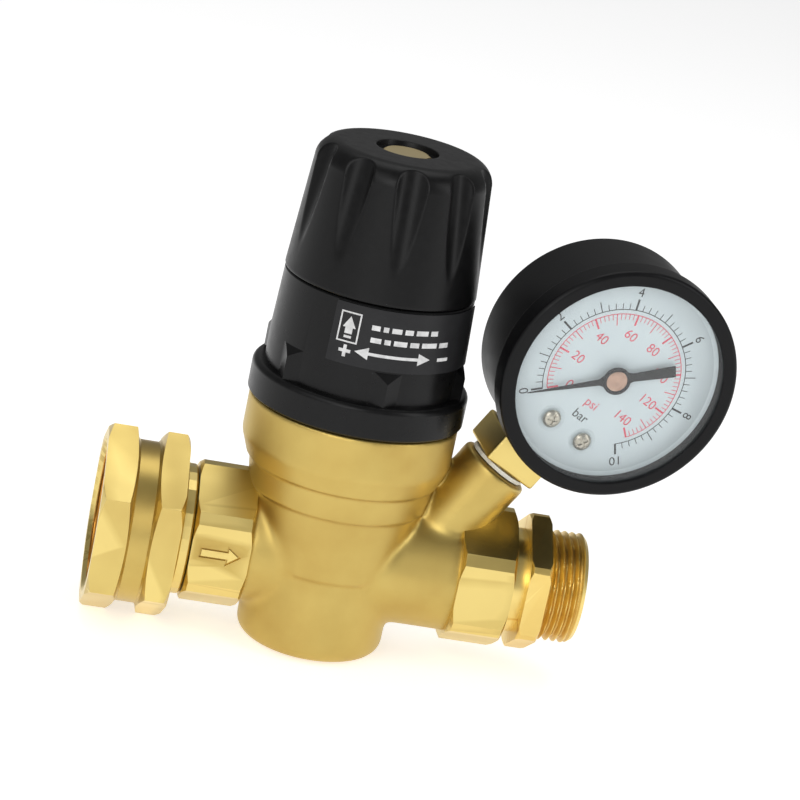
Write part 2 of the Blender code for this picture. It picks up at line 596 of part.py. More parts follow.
def make_outlet():
    corner = ADAPTER_ACROSS_FLATS / 2 / math.cos(math.radians(30)) - 0.5
    crests = thread_outline(OUTLET_THREAD_RADIUS, OUTLET_THREAD_X, OUTLET_THREAD_TURNS, OUTLET_THREAD_PITCH, 1.1)
    start = BODY_END - 9.5
    outline = [(ADAPTER_BORE, OUTLET_END), (OUTLET_THREAD_RADIUS - 1.2, OUTLET_END)] + crests + [
        (OUTLET_THREAD_RADIUS - 1.1, OUTLET_THREAD_X), (corner - 0.7, OUTLET_THREAD_X), (corner, OUTLET_THREAD_X - 0.7),
        (corner, ADAPTER_HEX_X + 0.7), (corner - 0.7, ADAPTER_HEX_X), (ADAPTER_NECK_RADIUS, ADAPTER_HEX_X),
        (ADAPTER_NECK_RADIUS, BODY_END + GAP), (SPIGOT_RADIUS, BODY_END + GAP), (SPIGOT_RADIUS, BODY_END - 2.6),
        (SPIGOT_RADIUS - 1.2, BODY_END - 2.6), (SPIGOT_RADIUS - 1.2, BODY_END - 4.8),
        (SPIGOT_RADIUS, BODY_END - 4.8), (SPIGOT_RADIUS, start), (ADAPTER_BORE, start),
    ]
    adapter = turned("outlet_adapter", outline, "brass", FLOW_FRAME, 24)
    flats = hex_ring(ADAPTER_ACROSS_FLATS, 20.0, ADAPTER_HEX_X - 0.2, OUTLET_THREAD_X + 0.2)
    combine(adapter, "DIFFERENCE", cutter("cut_adapter_flats", flats, FLOW_FRAME))
    seal = tube(SPIGOT_RADIUS - 0.9, SPIGOT_RADIUS, BODY_END - 4.5, BODY_END - 2.9)
    turned("outlet_seal", seal, "rubber", FLOW_FRAME, 20)


# ---------------------------------------------------------------- valve and diaphragm
def make_valve():
    seat = [
        (SEAT_FLANGE_RADIUS, SEAT_WEB_TOP + GAP + 2.0), (SEAT_FLANGE_RADIUS, SEAT_WEB_TOP + GAP),
        (SEAT_THREAD_RADIUS - GAP, SEAT_WEB_TOP + GAP), (SEAT_THREAD_RADIUS - GAP, SEAT_WEB_BASE + 0.6),
        (SEAT_BORE + 1.2, SEAT_WEB_BASE + 0.6), (SEAT_BORE + 0.7, SEAT_LIP_BASE), (SEAT_BORE, SEAT_LIP_BASE),
        (SEAT_BORE, SEAT_WEB_TOP + GAP + 2.0),
    ]
    turned("valve_seat", seat, "brass", steps=22)
    bore = STEM_RADIUS + GAP
    groove = PISTON_BASE + 3.0
    piston = PISTON_BORE - GAP
    holder = [
        (DISC_RADIUS + GAP + HOLDER_WALL, DISC_TOP - 0.8), (DISC_RADIUS + GAP + HOLDER_WALL, HOLDER_BASE),
        (piston, HOLDER_BASE), (piston, groove + 2.2), (piston - 1.3, groove + 2.2), (piston - 1.3, groove),
        (piston, groove), (piston, PISTON_BASE), (0, PISTON_BASE),
    ]
    pocket = [(0, HOLDER_FLOOR - 7.0), (bore, HOLDER_FLOOR - 7.0), (bore, HOLDER_FLOOR),
              (DISC_RADIUS + GAP, HOLDER_FLOOR), (DISC_RADIUS + GAP, DISC_TOP - 0.8)]
    turned("valve_holder", holder + pocket, "brass", steps=20)
    turned("piston_oring", tube(piston - 1.0, piston, groove + GAP, groove + 2.2 - GAP), "rubber", steps=20)
    turned("valve_disc", tube(bore, DISC_RADIUS, DISC_BASE, DISC_TOP), "rubber", steps=20)
    turned("disc_washer", tube(bore, 5.5, DISC_WASHER_BASE, STEM_SHOULDER - GAP), "steel", steps=SMALL_STEPS)
    stem = [
        (0, STEM_TOP), (STEM_THREAD_RADIUS, STEM_TOP), (STEM_THREAD_RADIUS, STEM_FLANGE_TOP),
        (STEM_FLANGE_RADIUS, STEM_FLANGE_TOP), (STEM_FLANGE_RADIUS, STEM_FLANGE_BASE),
        (STEM_SHOULDER_RADIUS, STEM_FLANGE_BASE), (STEM_SHOULDER_RADIUS, STEM_SHOULDER),
        (STEM_RADIUS, STEM_SHOULDER), (STEM_RADIUS, HOLDER_FLOOR - 6.5), (0, HOLDER_FLOOR - 6.5),
    ]
    turned("valve_stem", stem, "steel", steps=SMALL_STEPS)


def make_diaphragm():
    middle = STEM_THREAD_RADIUS + GAP
    rim = DIAPHRAGM_POCKET_RADIUS - GAP
    turned("diaphragm", tube(middle, rim, DIAPHRAGM_BASE, DIAPHRAGM_TOP), "rubber", steps=20)
    turned("slip_ring", tube(SPRING_CHAMBER_RADIUS, rim, SLIP_RING_BASE, SLIP_RING_TOP), "nylon", steps=20)
    plate = [
        (SPRING_PLATE_RADIUS, SPRING_PLATE_TOP), (SPRING_PLATE_RADIUS, SPRING_PLATE_BASE),
        (middle, SPRING_PLATE_BASE), (middle, SPRING_PLATE_TOP),
    ]
    turned("spring_plate", plate, "steel", steps=22)
    nut = prism(hexagon(10.0), STEM_NUT_BASE, STEM_NUT_TOP)
    stem_nut = add_object("stem_nut", nut, "steel", BOWL_FRAME)
    hole = pin(middle, STEM_NUT_BASE - 1, STEM_NUT_TOP + 1)
    combine(stem_nut, "DIFFERENCE", cutter("cut_stem_nut", hole))


def make_spring():
    """A compression coil as a swept round wire, whose end turns lie close."""
    base = SPRING_PLATE_TOP + GAP + SPRING_WIRE_RADIUS
    top = SPRING_NUT_BASE - GAP - SPRING_WIRE_RADIUS
    close = 2 * SPRING_WIRE_RADIUS + GAP
    count = int(SPRING_TURNS * SPRING_STEPS)
    rings = []
    for i in range(count + 1):
        turn = SPRING_TURNS * i / count
        share = (turn - 1) / (SPRING_TURNS - 2)
        if turn < 1:
            height = base + close * turn
        elif turn > SPRING_TURNS - 1:
            height = top - close * (SPRING_TURNS - turn)
        else:
            height = base + close + (top - base - 2 * close) * share
        out = Vector((math.cos(math.tau * turn), math.sin(math.tau * turn), 0))
        centre = out * SPRING_COIL_RADIUS + Vector((0, 0, height))
        rings.append([centre + out * x + Vector((0, 0, z)) for x, z in polygon(6, SPRING_WIRE_RADIUS)])
    add_object("main_spring", swept(rings), "steel", BOWL_FRAME)


# ---------------------------------------------------------------- bonnet, spindle and knob
def make_bonnet():
    thread = DIAPHRAGM_POCKET_RADIUS - GAP - 0.1
    edge = arc((FLANGE_RADIUS - FLANGE_EDGE, BONNET_HEX_BASE - FLANGE_EDGE), FLANGE_EDGE, 90, 0, 3)
    blank_bore = SLIDE_HEX_ACROSS_FLATS / 2 - 1.0
    outline = [
        (blank_bore, LABEL_CYLINDER_TOP), (LABEL_CYLINDER_TOP_RADIUS - 0.3, LABEL_CYLINDER_TOP), (LABEL_CYLINDER_TOP_RADIUS, LABEL_CYLINDER_TOP - 0.3),
        (LABEL_CYLINDER_RADIUS, LABEL_CYLINDER_BASE), (BONNET_HEX_RADIUS, LABEL_CYLINDER_BASE - 1.6),
        (BONNET_HEX_RADIUS, BONNET_HEX_BASE),
    ] + edge + [
        (FLANGE_RADIUS, BONNET_BASE + 0.4), (FLANGE_RADIUS - 0.4, BONNET_BASE), (thread, BONNET_BASE),
        (thread, SPIGOT_BASE), (SPRING_CHAMBER_RADIUS, SPIGOT_BASE), (SPRING_CHAMBER_RADIUS, SPRING_CHAMBER_TOP),
        (blank_bore, SPRING_CHAMBER_TOP),
    ]
    tower_outline = [
        (TOWER_RADIUS - 0.6, TOWER_TOP), (TOWER_RADIUS, TOWER_TOP - 0.6), (TOWER_RADIUS, TOWER_BASE),
        (blank_bore, TOWER_BASE), (blank_bore, SLIDE_HEX_TOP), (COLLAR_POCKET_RADIUS, SLIDE_HEX_TOP),
        (COLLAR_POCKET_RADIUS, ROOF_BASE), (SPINDLE_RADIUS + GAP, ROOF_BASE), (SPINDLE_RADIUS + GAP, TOWER_TOP),
    ]
    bonnet = turned("bonnet", outline, "black_plastic")
    tower = turned("bonnet_tower", tower_outline, "black_plastic")
    flats = hex_ring(BONNET_HEX_RADIUS * 2 * math.cos(math.radians(30)), 28.0, BONNET_HEX_BASE,
                     LABEL_CYLINDER_BASE, BONNET_HEX_TURN - 90)
    combine(bonnet, "DIFFERENCE", cutter("cut_bonnet_flats", flats))
    for part, base in ((bonnet, SPRING_CHAMBER_TOP - 1), (tower, TOWER_BASE - 1)):
        slide = prism(hexagon(SLIDE_HEX_ACROSS_FLATS), base, SLIDE_HEX_TOP)
        combine(part, "DIFFERENCE", cutter(f"cut_{part.name}_slide", slide))
    first = -TOOTH_ROOT_SHARE * 360.0 / LOCK_TEETH
    teeth = prism(tooth_outline(LOCK_TEETH, LOCK_ROOT_RADIUS, LOCK_TIP_RADIUS),
                  TOWER_BASE, TOWER_BASE + LOCK_HEIGHT,
                  polygon(LOCK_TEETH * 4, LOCK_BORE, first))
    add_object("lock_ring", teeth, "black_plastic", BOWL_FRAME)


def make_label():
    """A thin film wrapped on the bonnet's upper cylinder."""
    base = LABEL_CYLINDER_BASE + (LABEL_CYLINDER_HEIGHT - LABEL_HEIGHT) / 2
    taper = (LABEL_CYLINDER_TOP_RADIUS - LABEL_CYLINDER_RADIUS) / LABEL_CYLINDER_HEIGHT
    rings = []
    for i in range(LABEL_STEPS + 1):
        a = math.radians(LABEL_TURN - 90 + LABEL_HALF_ANGLE * (2 * i / LABEL_STEPS - 1))
        ring = []
        for rise, lift in ((0, 0), (0, 1), (LABEL_HEIGHT, 1), (LABEL_HEIGHT, 0)):
            height = base + rise
            radius = LABEL_CYLINDER_RADIUS + taper * (height - LABEL_CYLINDER_BASE)
            radius += GAP / 2 + lift * LABEL_THICKNESS
            ring.append((radius * math.cos(a), radius * math.sin(a), height))
        rings.append(ring)
    add_object("label", swept(rings), "label_film", BOWL_FRAME)


def make_spindle():
    hex_corner = SPINDLE_HEX_ACROSS_FLATS / 2 / math.cos(math.radians(30))
    clip_base = TOWER_TOP + GAP
    neck = SPINDLE_RADIUS - 0.8
    hex_base = HUB_BASE
    outline = [
        (0, SPINDLE_TOP), (SPINDLE_HEX_ACROSS_FLATS / 2 - 0.1, SPINDLE_TOP), (hex_corner, SPINDLE_TOP - 0.5),
        (hex_corner, hex_base), (SPINDLE_RADIUS, hex_base), (SPINDLE_RADIUS, clip_base + 0.9),
        (neck, clip_base + 0.9), (neck, clip_base - 0.1), (SPINDLE_RADIUS, clip_base - 0.1),
        (SPINDLE_RADIUS, COLLAR_TOP), (SPINDLE_COLLAR_RADIUS, COLLAR_TOP), (SPINDLE_COLLAR_RADIUS, COLLAR_BASE),
        (SPINDLE_RADIUS - 1.0, COLLAR_BASE), (SPINDLE_RADIUS - 1.0, STEM_TOP + 14.0), (0, STEM_TOP + 14.0),
    ]
    spindle = turned("adjusting_spindle", outline, "brass", steps=SMALL_STEPS)
    flats = hex_ring(SPINDLE_HEX_ACROSS_FLATS, 9.0, hex_base, SPINDLE_TOP + 1)
    combine(spindle, "DIFFERENCE", cutter("cut_spindle_flats", flats))
    washer = tube(SPINDLE_RADIUS + GAP, SPINDLE_COLLAR_RADIUS + 0.4, THRUST_WASHER_BASE, THRUST_WASHER_TOP)
    turned("thrust_washer", washer, "nylon", steps=SMALL_STEPS)
    clip = tube(neck + 0.3, SPINDLE_RADIUS + 1.8, clip_base, clip_base + 0.7)
    circlip = turned("spindle_circlip", clip, "steel", steps=SMALL_STEPS)
    mouth = box((0, -2.2, clip_base - 1), (9, 2.2, clip_base + 2))
    combine(circlip, "DIFFERENCE", cutter("cut_circlip_mouth", mouth))
    nut = prism(hexagon(SLIDE_HEX_ACROSS_FLATS - 2 * GAP), SPRING_NUT_BASE, SPRING_NUT_BASE + SPRING_NUT_HEIGHT)
    spring_nut = add_object("spring_nut", nut, "brass", BOWL_FRAME)
    hole = pin(SPINDLE_RADIUS - 1.0 + GAP, SPRING_NUT_BASE - 1, SPRING_NUT_BASE + SPRING_NUT_HEIGHT + 1)
    combine(spring_nut, "DIFFERENCE", cutter("cut_spring_nut", hole))


def make_knob():
    shoulder = KNOB_TOP - KNOB_EDGE
    edge = arc((KNOB_SHOULDER_RADIUS - KNOB_EDGE, shoulder), KNOB_EDGE, 90, 0, 4)
    blank_hole = SPINDLE_HEX_ACROSS_FLATS / 2 - 0.4
    lock_bore = LOCK_TIP_RADIUS + GAP
    lock_ceiling = LABEL_CYLINDER_TOP + LOCK_HEIGHT + 3 * GAP
    outline = [(blank_hole, KNOB_TOP - KNOB_POCKET_DEPTH), (KNOB_POCKET_RADIUS, KNOB_TOP - KNOB_POCKET_DEPTH),
               (KNOB_POCKET_RADIUS, KNOB_TOP)] + edge + [
        (KNOB_BASE_RADIUS, KNOB_BASE + 0.4), (KNOB_BASE_RADIUS - 0.4, KNOB_BASE), (lock_bore, KNOB_BASE),
        (lock_bore, lock_ceiling), (KNOB_BORE, lock_ceiling), (KNOB_BORE, KNOB_CEILING),
        (HUB_RADIUS, KNOB_CEILING), (HUB_RADIUS, HUB_BASE), (blank_hole, HUB_BASE),
    ]
    knob = turned("knob", outline, "black_plastic", steps=40)
    socket = prism(hexagon(SPINDLE_HEX_ACROSS_FLATS + 2 * GAP), HUB_BASE - 1, KNOB_TOP + 1)
    combine(knob, "DIFFERENCE", cutter("cut_hex_socket", socket))
    top_axis = KNOB_SHOULDER_RADIUS + FLUTE_RADIUS - FLUTE_DEPTH
    slope = (KNOB_BASE_RADIUS - KNOB_SHOULDER_RADIUS) / (shoulder - KNOB_BASE)
    tip_radius = KNOB_SHOULDER_RADIUS + slope * (shoulder - FLUTE_TIP)
    lean = math.atan2(tip_radius + FLUTE_RADIUS - top_axis, KNOB_TOP - FLUTE_TIP)
    for flute in range(FLUTES):
        turn = Matrix.Rotation(math.tau * (flute + 0.5) / FLUTES, 4, "Z")
        place = Matrix.Translation((top_axis * MM, 0, KNOB_TOP * MM)) @ Matrix.Rotation(-lean, 4, "Y")
        bm = pin(FLUTE_RADIUS, -30.0, 6.0, steps=10)
        combine(knob, "DIFFERENCE", cutter(f"cut_flute_{flute + 1}", bm, BOWL_FRAME @ turn @ place))


# ---------------------------------------------------------------- gauge
def make_gauge_shell(parent):
    identity = Matrix.Identity(4)
    inner = CASE_RADIUS - CASE_WALL
    edge = 1.6
    case = [(0, CASE_WALL), (inner, CASE_WALL), (inner, CASE_DEPTH), (CASE_RADIUS, CASE_DEPTH), (CASE_RADIUS, edge),
            (CASE_RADIUS - edge * 0.3, edge * 0.3), (CASE_RADIUS - edge, 0), (0, 0)]
    gauge_case = turned("gauge_case", case, "black_paint", identity, ROUND_STEPS, parent)
    hole = spin_outline([(0, -CASE_RADIUS + 4), (6.3, -CASE_RADIUS + 4), (6.3, -CASE_RADIUS - 3),
                         (0, -CASE_RADIUS - 3)], SMALL_STEPS)
    stem_axis = Matrix.Translation((0, 0, STEM_DEPTH * MM)) @ Matrix.Rotation(math.radians(-90), 4, "X")
    combine(gauge_case, "DIFFERENCE", cutter("cut_case_hole", hole, stem_axis, parent))
    skirt = CASE_RADIUS + GAP
    lens_front = CASE_DEPTH + GAP + LENS_THICKNESS
    bezel = [(BEZEL_OPENING, BEZEL_FRONT - 0.4), (BEZEL_OPENING + 0.5, BEZEL_FRONT),
             (BEZEL_RADIUS - 0.9, BEZEL_FRONT),
             (BEZEL_RADIUS, BEZEL_FRONT - 0.9), (BEZEL_RADIUS, BEZEL_BACK + 0.3), (BEZEL_RADIUS - 0.3, BEZEL_BACK),
             (skirt, BEZEL_BACK), (skirt, lens_front + GAP), (BEZEL_OPENING, lens_front + GAP)]
    turned("gauge_bezel", bezel, "black_paint", identity, ROUND_STEPS, parent)
    lens = [(0, lens_front), (CASE_RADIUS - 0.2, lens_front), (CASE_RADIUS - 0.2, CASE_DEPTH + GAP),
            (0, CASE_DEPTH + GAP)]
    turned("gauge_lens", lens, "clear_lens", identity, ROUND_STEPS, parent)
    dial = turned("gauge_dial", tube(1.6, DIAL_RADIUS, DIAL_BACK, DIAL_BACK + DIAL_THICKNESS), "dial_enamel",
                  identity, ROUND_STEPS, parent)
    for name, side in (("left", -1), ("right", 1)):
        a = math.radians(-90 + side * DIAL_SCREW_HALF_ANGLE)
        x, y = DIAL_SCREW_ORBIT * math.cos(a), DIAL_SCREW_ORBIT * math.sin(a)
        hole = pin(1.3, DIAL_BACK - 1, DIAL_BACK + 2, x, y, 16)
        combine(dial, "DIFFERENCE", cutter(f"cut_dial_{name}", hole, identity, parent))
        head = DIAL_BACK + DIAL_THICKNESS + GAP
        screw = [(0, head + 0.9), (DIAL_SCREW_RADIUS - 0.5, head + 0.9), (DIAL_SCREW_RADIUS, head + 0.4),
                 (DIAL_SCREW_RADIUS, head), (0.9, head), (0.9, DIAL_BACK - 3.0), (0, DIAL_BACK - 3.0)]
        place = Matrix.Translation((x * MM, y * MM, 0))
        turned(f"dial_screw_{name}", screw, "steel", place, 14, parent)


def make_gauge_socket(parent):
    """Square wrench block, pipe thread and the inner head that carries the movement."""
    stem_axis = Matrix.Translation((0, 0, STEM_DEPTH * MM)) @ Matrix.Rotation(math.radians(-90), 4, "X")
    boss_top = BOSS_LENGTH - GAUGE_CENTRE
    block_base = boss_top + 2 * GAP + 0.9
    block_top = -CASE_RADIUS - GAP
    half = GAUGE_BLOCK_WIDTH / 2
    stem = spin_outline([(0, -15.0), (5.6, -15.0), (5.6, block_base + 1), (GAUGE_STEM_RADIUS, block_base + 1),
                         (GAUGE_STEM_RADIUS, boss_top - GAUGE_THREAD_LENGTH), (0, boss_top - GAUGE_THREAD_LENGTH)],
                        SMALL_STEPS)
    socket = add_object("gauge_socket", stem, "brass", stem_axis, parent)
    block = prism(cut_corner_square(half, 0.6), block_base, block_top)
    combine(socket, "UNION", cutter("socket_block", block, stem_axis, parent))
    bore = pin(1.5, boss_top - GAUGE_THREAD_LENGTH - 1, -19.0, steps=12)
    combine(socket, "DIFFERENCE", cutter("cut_socket_bore", bore, stem_axis, parent))
    head = box((-6.4, -22.4, 3.4), (6.4, -8.0, BACK_PLATE - GAP))
    combine(socket, "UNION", cutter("socket_head", head, Matrix.Identity(4), parent))
    for side in (-1, 1):
        a = math.radians(-90 + side * DIAL_SCREW_HALF_ANGLE)
        x, y = DIAL_SCREW_ORBIT * math.cos(a), DIAL_SCREW_ORBIT * math.sin(a)
        post = pin(2.3, BACK_PLATE - 2, DIAL_BACK - GAP, x, y, 16)
        combine(socket, "UNION", cutter(f"socket_post_{side + 2}", post, Matrix.Identity(4), parent))
        hole = pin(1.2, DIAL_BACK - 3.6, DIAL_BACK + 1, x, y, 12)
        combine(socket, "DIFFERENCE", cutter(f"cut_post_{side + 2}", hole, Matrix.Identity(4), parent))
    seal = tube(GAUGE_STEM_RADIUS + GAP, BOSS_RADIUS - 1.4, boss_top + GAP, boss_top + GAP + 0.9)
    turned("gauge_seal", seal, "nylon", stem_axis, SMALL_STEPS, parent)


def cut_corner_square(half, cut):
    points = []
    for x, y in ((1, -1), (1, 1), (-1, 1), (-1, -1)):
        first, second = ((half - cut) * x, half * y), (half * x, (half - cut) * y)
        points += [first, second] if x * y < 0 else [second, first]
    return points


def make_plates(parent, pivot):
    identity = Matrix.Identity(4)
    outline = [(PLATE_LEFT, PLATE_FOOT), (PLATE_RIGHT, PLATE_FOOT), (PLATE_RIGHT, PLATE_HEAD),
               (PLATE_CORNER, PLATE_HEAD), (PLATE_LEFT, PLATE_CORNER)]
    for name, level in (("back", BACK_PLATE), ("front", FRONT_PLATE)):
        plate = add_object(f"movement_{name}_plate", prism(outline, level, level + PLATE_THICKNESS), "brass",
                           identity, parent)
        for hole_name, place, radius in (("arbor", (0, 0), ARBOR_RADIUS + GAP),
                                         ("pivot", pivot, SECTOR_SHAFT_RADIUS + GAP)):
            hole = pin(radius, level - 1, level + PLATE_THICKNESS + 1, *place, 16)
            combine(plate, "DIFFERENCE", cutter(f"cut_{name}_{hole_name}", hole, identity, parent))
    for number, (x, y) in enumerate(PILLAR_PLACES, 1):
        pillar = pin(PILLAR_RADIUS, BACK_PLATE + PLATE_THICKNESS + GAP, FRONT_PLATE - GAP, x, y)
        add_object(f"movement_pillar_{number}", pillar, "brass", identity, parent)


def make_gears(parent, pivot, tail):
    identity = Matrix.Identity(4)
    gear_front = GEAR_BACK + GEAR_THICKNESS
    pitch_pinion = GEAR_MODULE * PINION_TEETH / 2
    tip = pitch_pinion + TOOTH_ADDENDUM * GEAR_MODULE
    root = pitch_pinion - TOOTH_DEDENDUM * GEAR_MODULE
    arbor = pin(ARBOR_RADIUS, BACK_PLATE, ARBOR_TOP)
    pinion_arbor = add_object("pinion_arbor", arbor, "steel", identity, parent)
    pinion = prism(tooth_outline(PINION_TEETH, root, tip, -PINION_TOOTH_RELIEF, SECTOR_DIRECTION), GEAR_BACK,
                   gear_front)
    combine(pinion_arbor, "UNION", cutter("pinion_blank", pinion, identity, parent))
    place = Matrix.Translation((pivot[0] * MM, pivot[1] * MM, 0))
    outline = sector_outline(GEAR_MODULE * SECTOR_TEETH / 2)
    sector = add_object("sector_gear", prism(outline, GEAR_BACK, gear_front), "brass", place, parent)
    shaft = pin(SECTOR_SHAFT_RADIUS, BACK_PLATE + 0.1, FRONT_PLATE + PLATE_THICKNESS - 0.1)
    combine(sector, "UNION", cutter("sector_shaft", shaft, place, parent))
    tail_pin = pin(TAIL_PIN_RADIUS, GEAR_BACK + 0.5, FRONT_PLATE - GAP, *tail)
    combine(sector, "UNION", cutter("sector_tail_pin", tail_pin, place, parent))


def make_bourdon_tube(parent):
    rings = []
    for i in range(TUBE_STEPS + 1):
        a = math.radians(TUBE_START + (TUBE_END - TUBE_START) * i / TUBE_STEPS)
        ring = []
        for x, y in polygon(8, 1.0):
            radius = TUBE_RADIUS + TUBE_THICKNESS / 2 * x
            ring.append((radius * math.cos(a), radius * math.sin(a), TUBE_BACK + TUBE_WIDTH / 2 * (1 + y)))
        rings.append(ring)
    add_object("bourdon_tube", swept(rings), "copper", Matrix.Identity(4), parent)


def make_linkage(parent, link_x, tail_y):
    """The tube's end block with its post, and the link from the post to the sector's tail."""
    identity = Matrix.Identity(4)
    tip_y = TUBE_RADIUS * math.sin(math.radians(TUBE_END))
    post_y = tip_y - POST_DROP
    block = box((-TUBE_RADIUS - 1.2, tip_y - 3.6, TUBE_BACK),
                (link_x + 1.6, tip_y - GAP - 0.9, TUBE_BACK + TUBE_WIDTH))
    tube_tip = add_object("bourdon_tip", block, "brass", identity, parent)
    post = pin(POST_RADIUS, TUBE_BACK + 2, GEAR_BACK + GEAR_THICKNESS, link_x, post_y)
    combine(tube_tip, "UNION", cutter("tip_post", post, identity, parent))
    neck = pin(POST_NECK_RADIUS, TUBE_BACK + 3, FRONT_PLATE - GAP, link_x, post_y)
    combine(tube_tip, "UNION", cutter("tip_pin", neck, identity, parent))
    link_base = GEAR_BACK + GEAR_THICKNESS + GAP
    link = prism(slot_outline(link_x, tail_y, post_y, LINK_HALF_WIDTH), link_base, FRONT_PLATE - GAP - 0.2)
    tip_link = add_object("tip_link", link, "steel", identity, parent)
    for name, y, radius in (("tail", tail_y, TAIL_PIN_RADIUS + 0.65), ("post", post_y, POST_NECK_RADIUS + 0.35)):
        hole = pin(radius, link_base - 1, FRONT_PLATE + 1, link_x, y)
        combine(tip_link, "DIFFERENCE", cutter(f"cut_link_{name}", hole, identity, parent))


def make_hairspring(parent):
    base = BACK_PLATE + PLATE_THICKNESS + GAP
    half = HAIRSPRING_THICKNESS / 2
    rings = []
    for i in range(HAIRSPRING_STEPS + 1):
        share = i / HAIRSPRING_STEPS
        a = math.tau * HAIRSPRING_TURNS * share
        radius = HAIRSPRING_INNER + (HAIRSPRING_OUTER - HAIRSPRING_INNER) * share
        strip = ((-half, 0), (half, 0), (half, HAIRSPRING_WIDTH), (-half, HAIRSPRING_WIDTH))
        rings.append([((radius + x) * math.cos(a), (radius + x) * math.sin(a), base + z) for x, z in strip])
    add_object("hairspring", swept(rings), "copper", Matrix.Identity(4), parent)


def make_movement(parent):
    distance = GEAR_MODULE * (PINION_TEETH + SECTOR_TEETH) / 2
    direction = math.radians(SECTOR_DIRECTION)
    pivot = (distance * math.cos(direction), distance * math.sin(direction))
    tail_angle = math.radians(180.0 - sector_swing() / 2)
    tail = (TAIL_LENGTH * math.cos(tail_angle), TAIL_LENGTH * math.sin(tail_angle))
    make_plates(parent, pivot)
    make_gears(parent, pivot, tail)
    make_bourdon_tube(parent)
    make_linkage(parent, pivot[0] + tail[0], pivot[1] + tail[1])
    make_hairspring(parent)


def sector_swing():
    return POINTER_SWEEP * PINION_TEETH / SECTOR_TEETH


def sector_outline(pitch_radius):
    """Toothed arc, two arms and a tail, seen from the front with the pivot at the origin."""
    tip = pitch_radius + TOOTH_ADDENDUM * GEAR_MODULE
    root = pitch_radius - TOOTH_DEDENDUM * GEAR_MODULE
    pitch = 360.0 / SECTOR_TEETH
    towards = SECTOR_DIRECTION - 180.0
    points = []
    first = -int((sector_swing() + 8) / pitch)
    for tooth in range(first, 2):
        middle = towards + (tooth + 0.5) * pitch
        for radius, share in ((root, -0.30), (tip, -0.14), (tip, 0.14), (root, 0.30)):
            a = math.radians(middle + share * pitch)
            points.append((radius * math.cos(a), radius * math.sin(a)))
    hub = 2.0
    tail_angle = 180.0 - sector_swing() / 2
    tail_end = TAIL_LENGTH + 1.3
    for angle, radius in ((towards + 45, hub), (tail_angle - 35, hub), (tail_angle - 14, tail_end),
                          (tail_angle + 14, tail_end), (tail_angle + 35, hub), (tail_angle + 90, hub)):
        a = math.radians(angle)
        points.append((radius * math.cos(a), radius * math.sin(a)))
    return points


def slot_outline(x, low, high, half):
    """A bar with round ends along Y."""
    points = [(x + half * math.cos(math.radians(a)), high + half * math.sin(math.radians(a)))
              for a in range(0, 181, 30)]
    points += [(x + half * math.cos(math.radians(a)), low + half * math.sin(math.radians(a)))
               for a in range(180, 361, 30)]
    return points


def make_pointer(parent):
    level = DIAL_BACK + DIAL_THICKNESS + 1.1
    zero = Matrix.Rotation(math.radians(POINTER_ZERO), 4, "Z")
    half = [(POINTER_LENGTH, 0.12), (3.0, 0.8), (1.6, 2.0), (-1.6, 2.0), (-3.0, 0.8), (-6.0, 0.8), (-6.0, 1.3),
            (-POINTER_TAIL, 1.3)]
    outline = half + [(x, -y) for x, y in reversed(half)]
    pointer = add_object("pointer", prism(outline, level, level + 0.4), "black_paint", zero, parent)
    hole = pin(1.0, level - 1, level + 2, steps=14)
    combine(pointer, "DIFFERENCE", cutter("cut_pointer_hole", hole, zero, parent))
    top = CASE_DEPTH - 0.1
    hub = [(1.0, top), (POINTER_HUB_RADIUS - 0.4, top), (POINTER_HUB_RADIUS, top - 0.3),
           (POINTER_HUB_RADIUS, level + 0.4 + GAP), (1.0, level + 0.4 + GAP)]
    turned("pointer_hub", hub, "copper", Matrix.Identity(4), 20, parent)


def make_gauge():
    gauge = bpy.data.objects.new("gauge_frame", None)
    bpy.context.scene.collection.objects.link(gauge)
    gauge.matrix_local = GAUGE_FRAME
    make_gauge_shell(gauge)
    make_gauge_socket(gauge)
    make_movement(gauge)
    make_pointer(gauge)


def main():
    for obj in list(bpy.data.objects):
        bpy.data.objects.remove(obj, do_unlink=True)
    make_body()
    make_inlet()
    make_outlet()
    make_valve()
    make_diaphragm()
    make_spring()
    make_bonnet()
    make_label()
    make_spindle()
    make_knob()
    make_gauge()


main()
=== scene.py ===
# %% [markdown]
# A brass water pressure regulator stands on a pale floor. Water enters the swivel nut on the left,
# passes the body and leaves by the threaded end on the right. The black knob on top sets the
# pressure, and the dial gauge on its sloping boss shows it. The moving bodies come from the packed
# frame, and every finished piece here stands in the same place, in metres.

# %% Load the frame
import json
import math

import bpy
from mathutils import Matrix, Vector


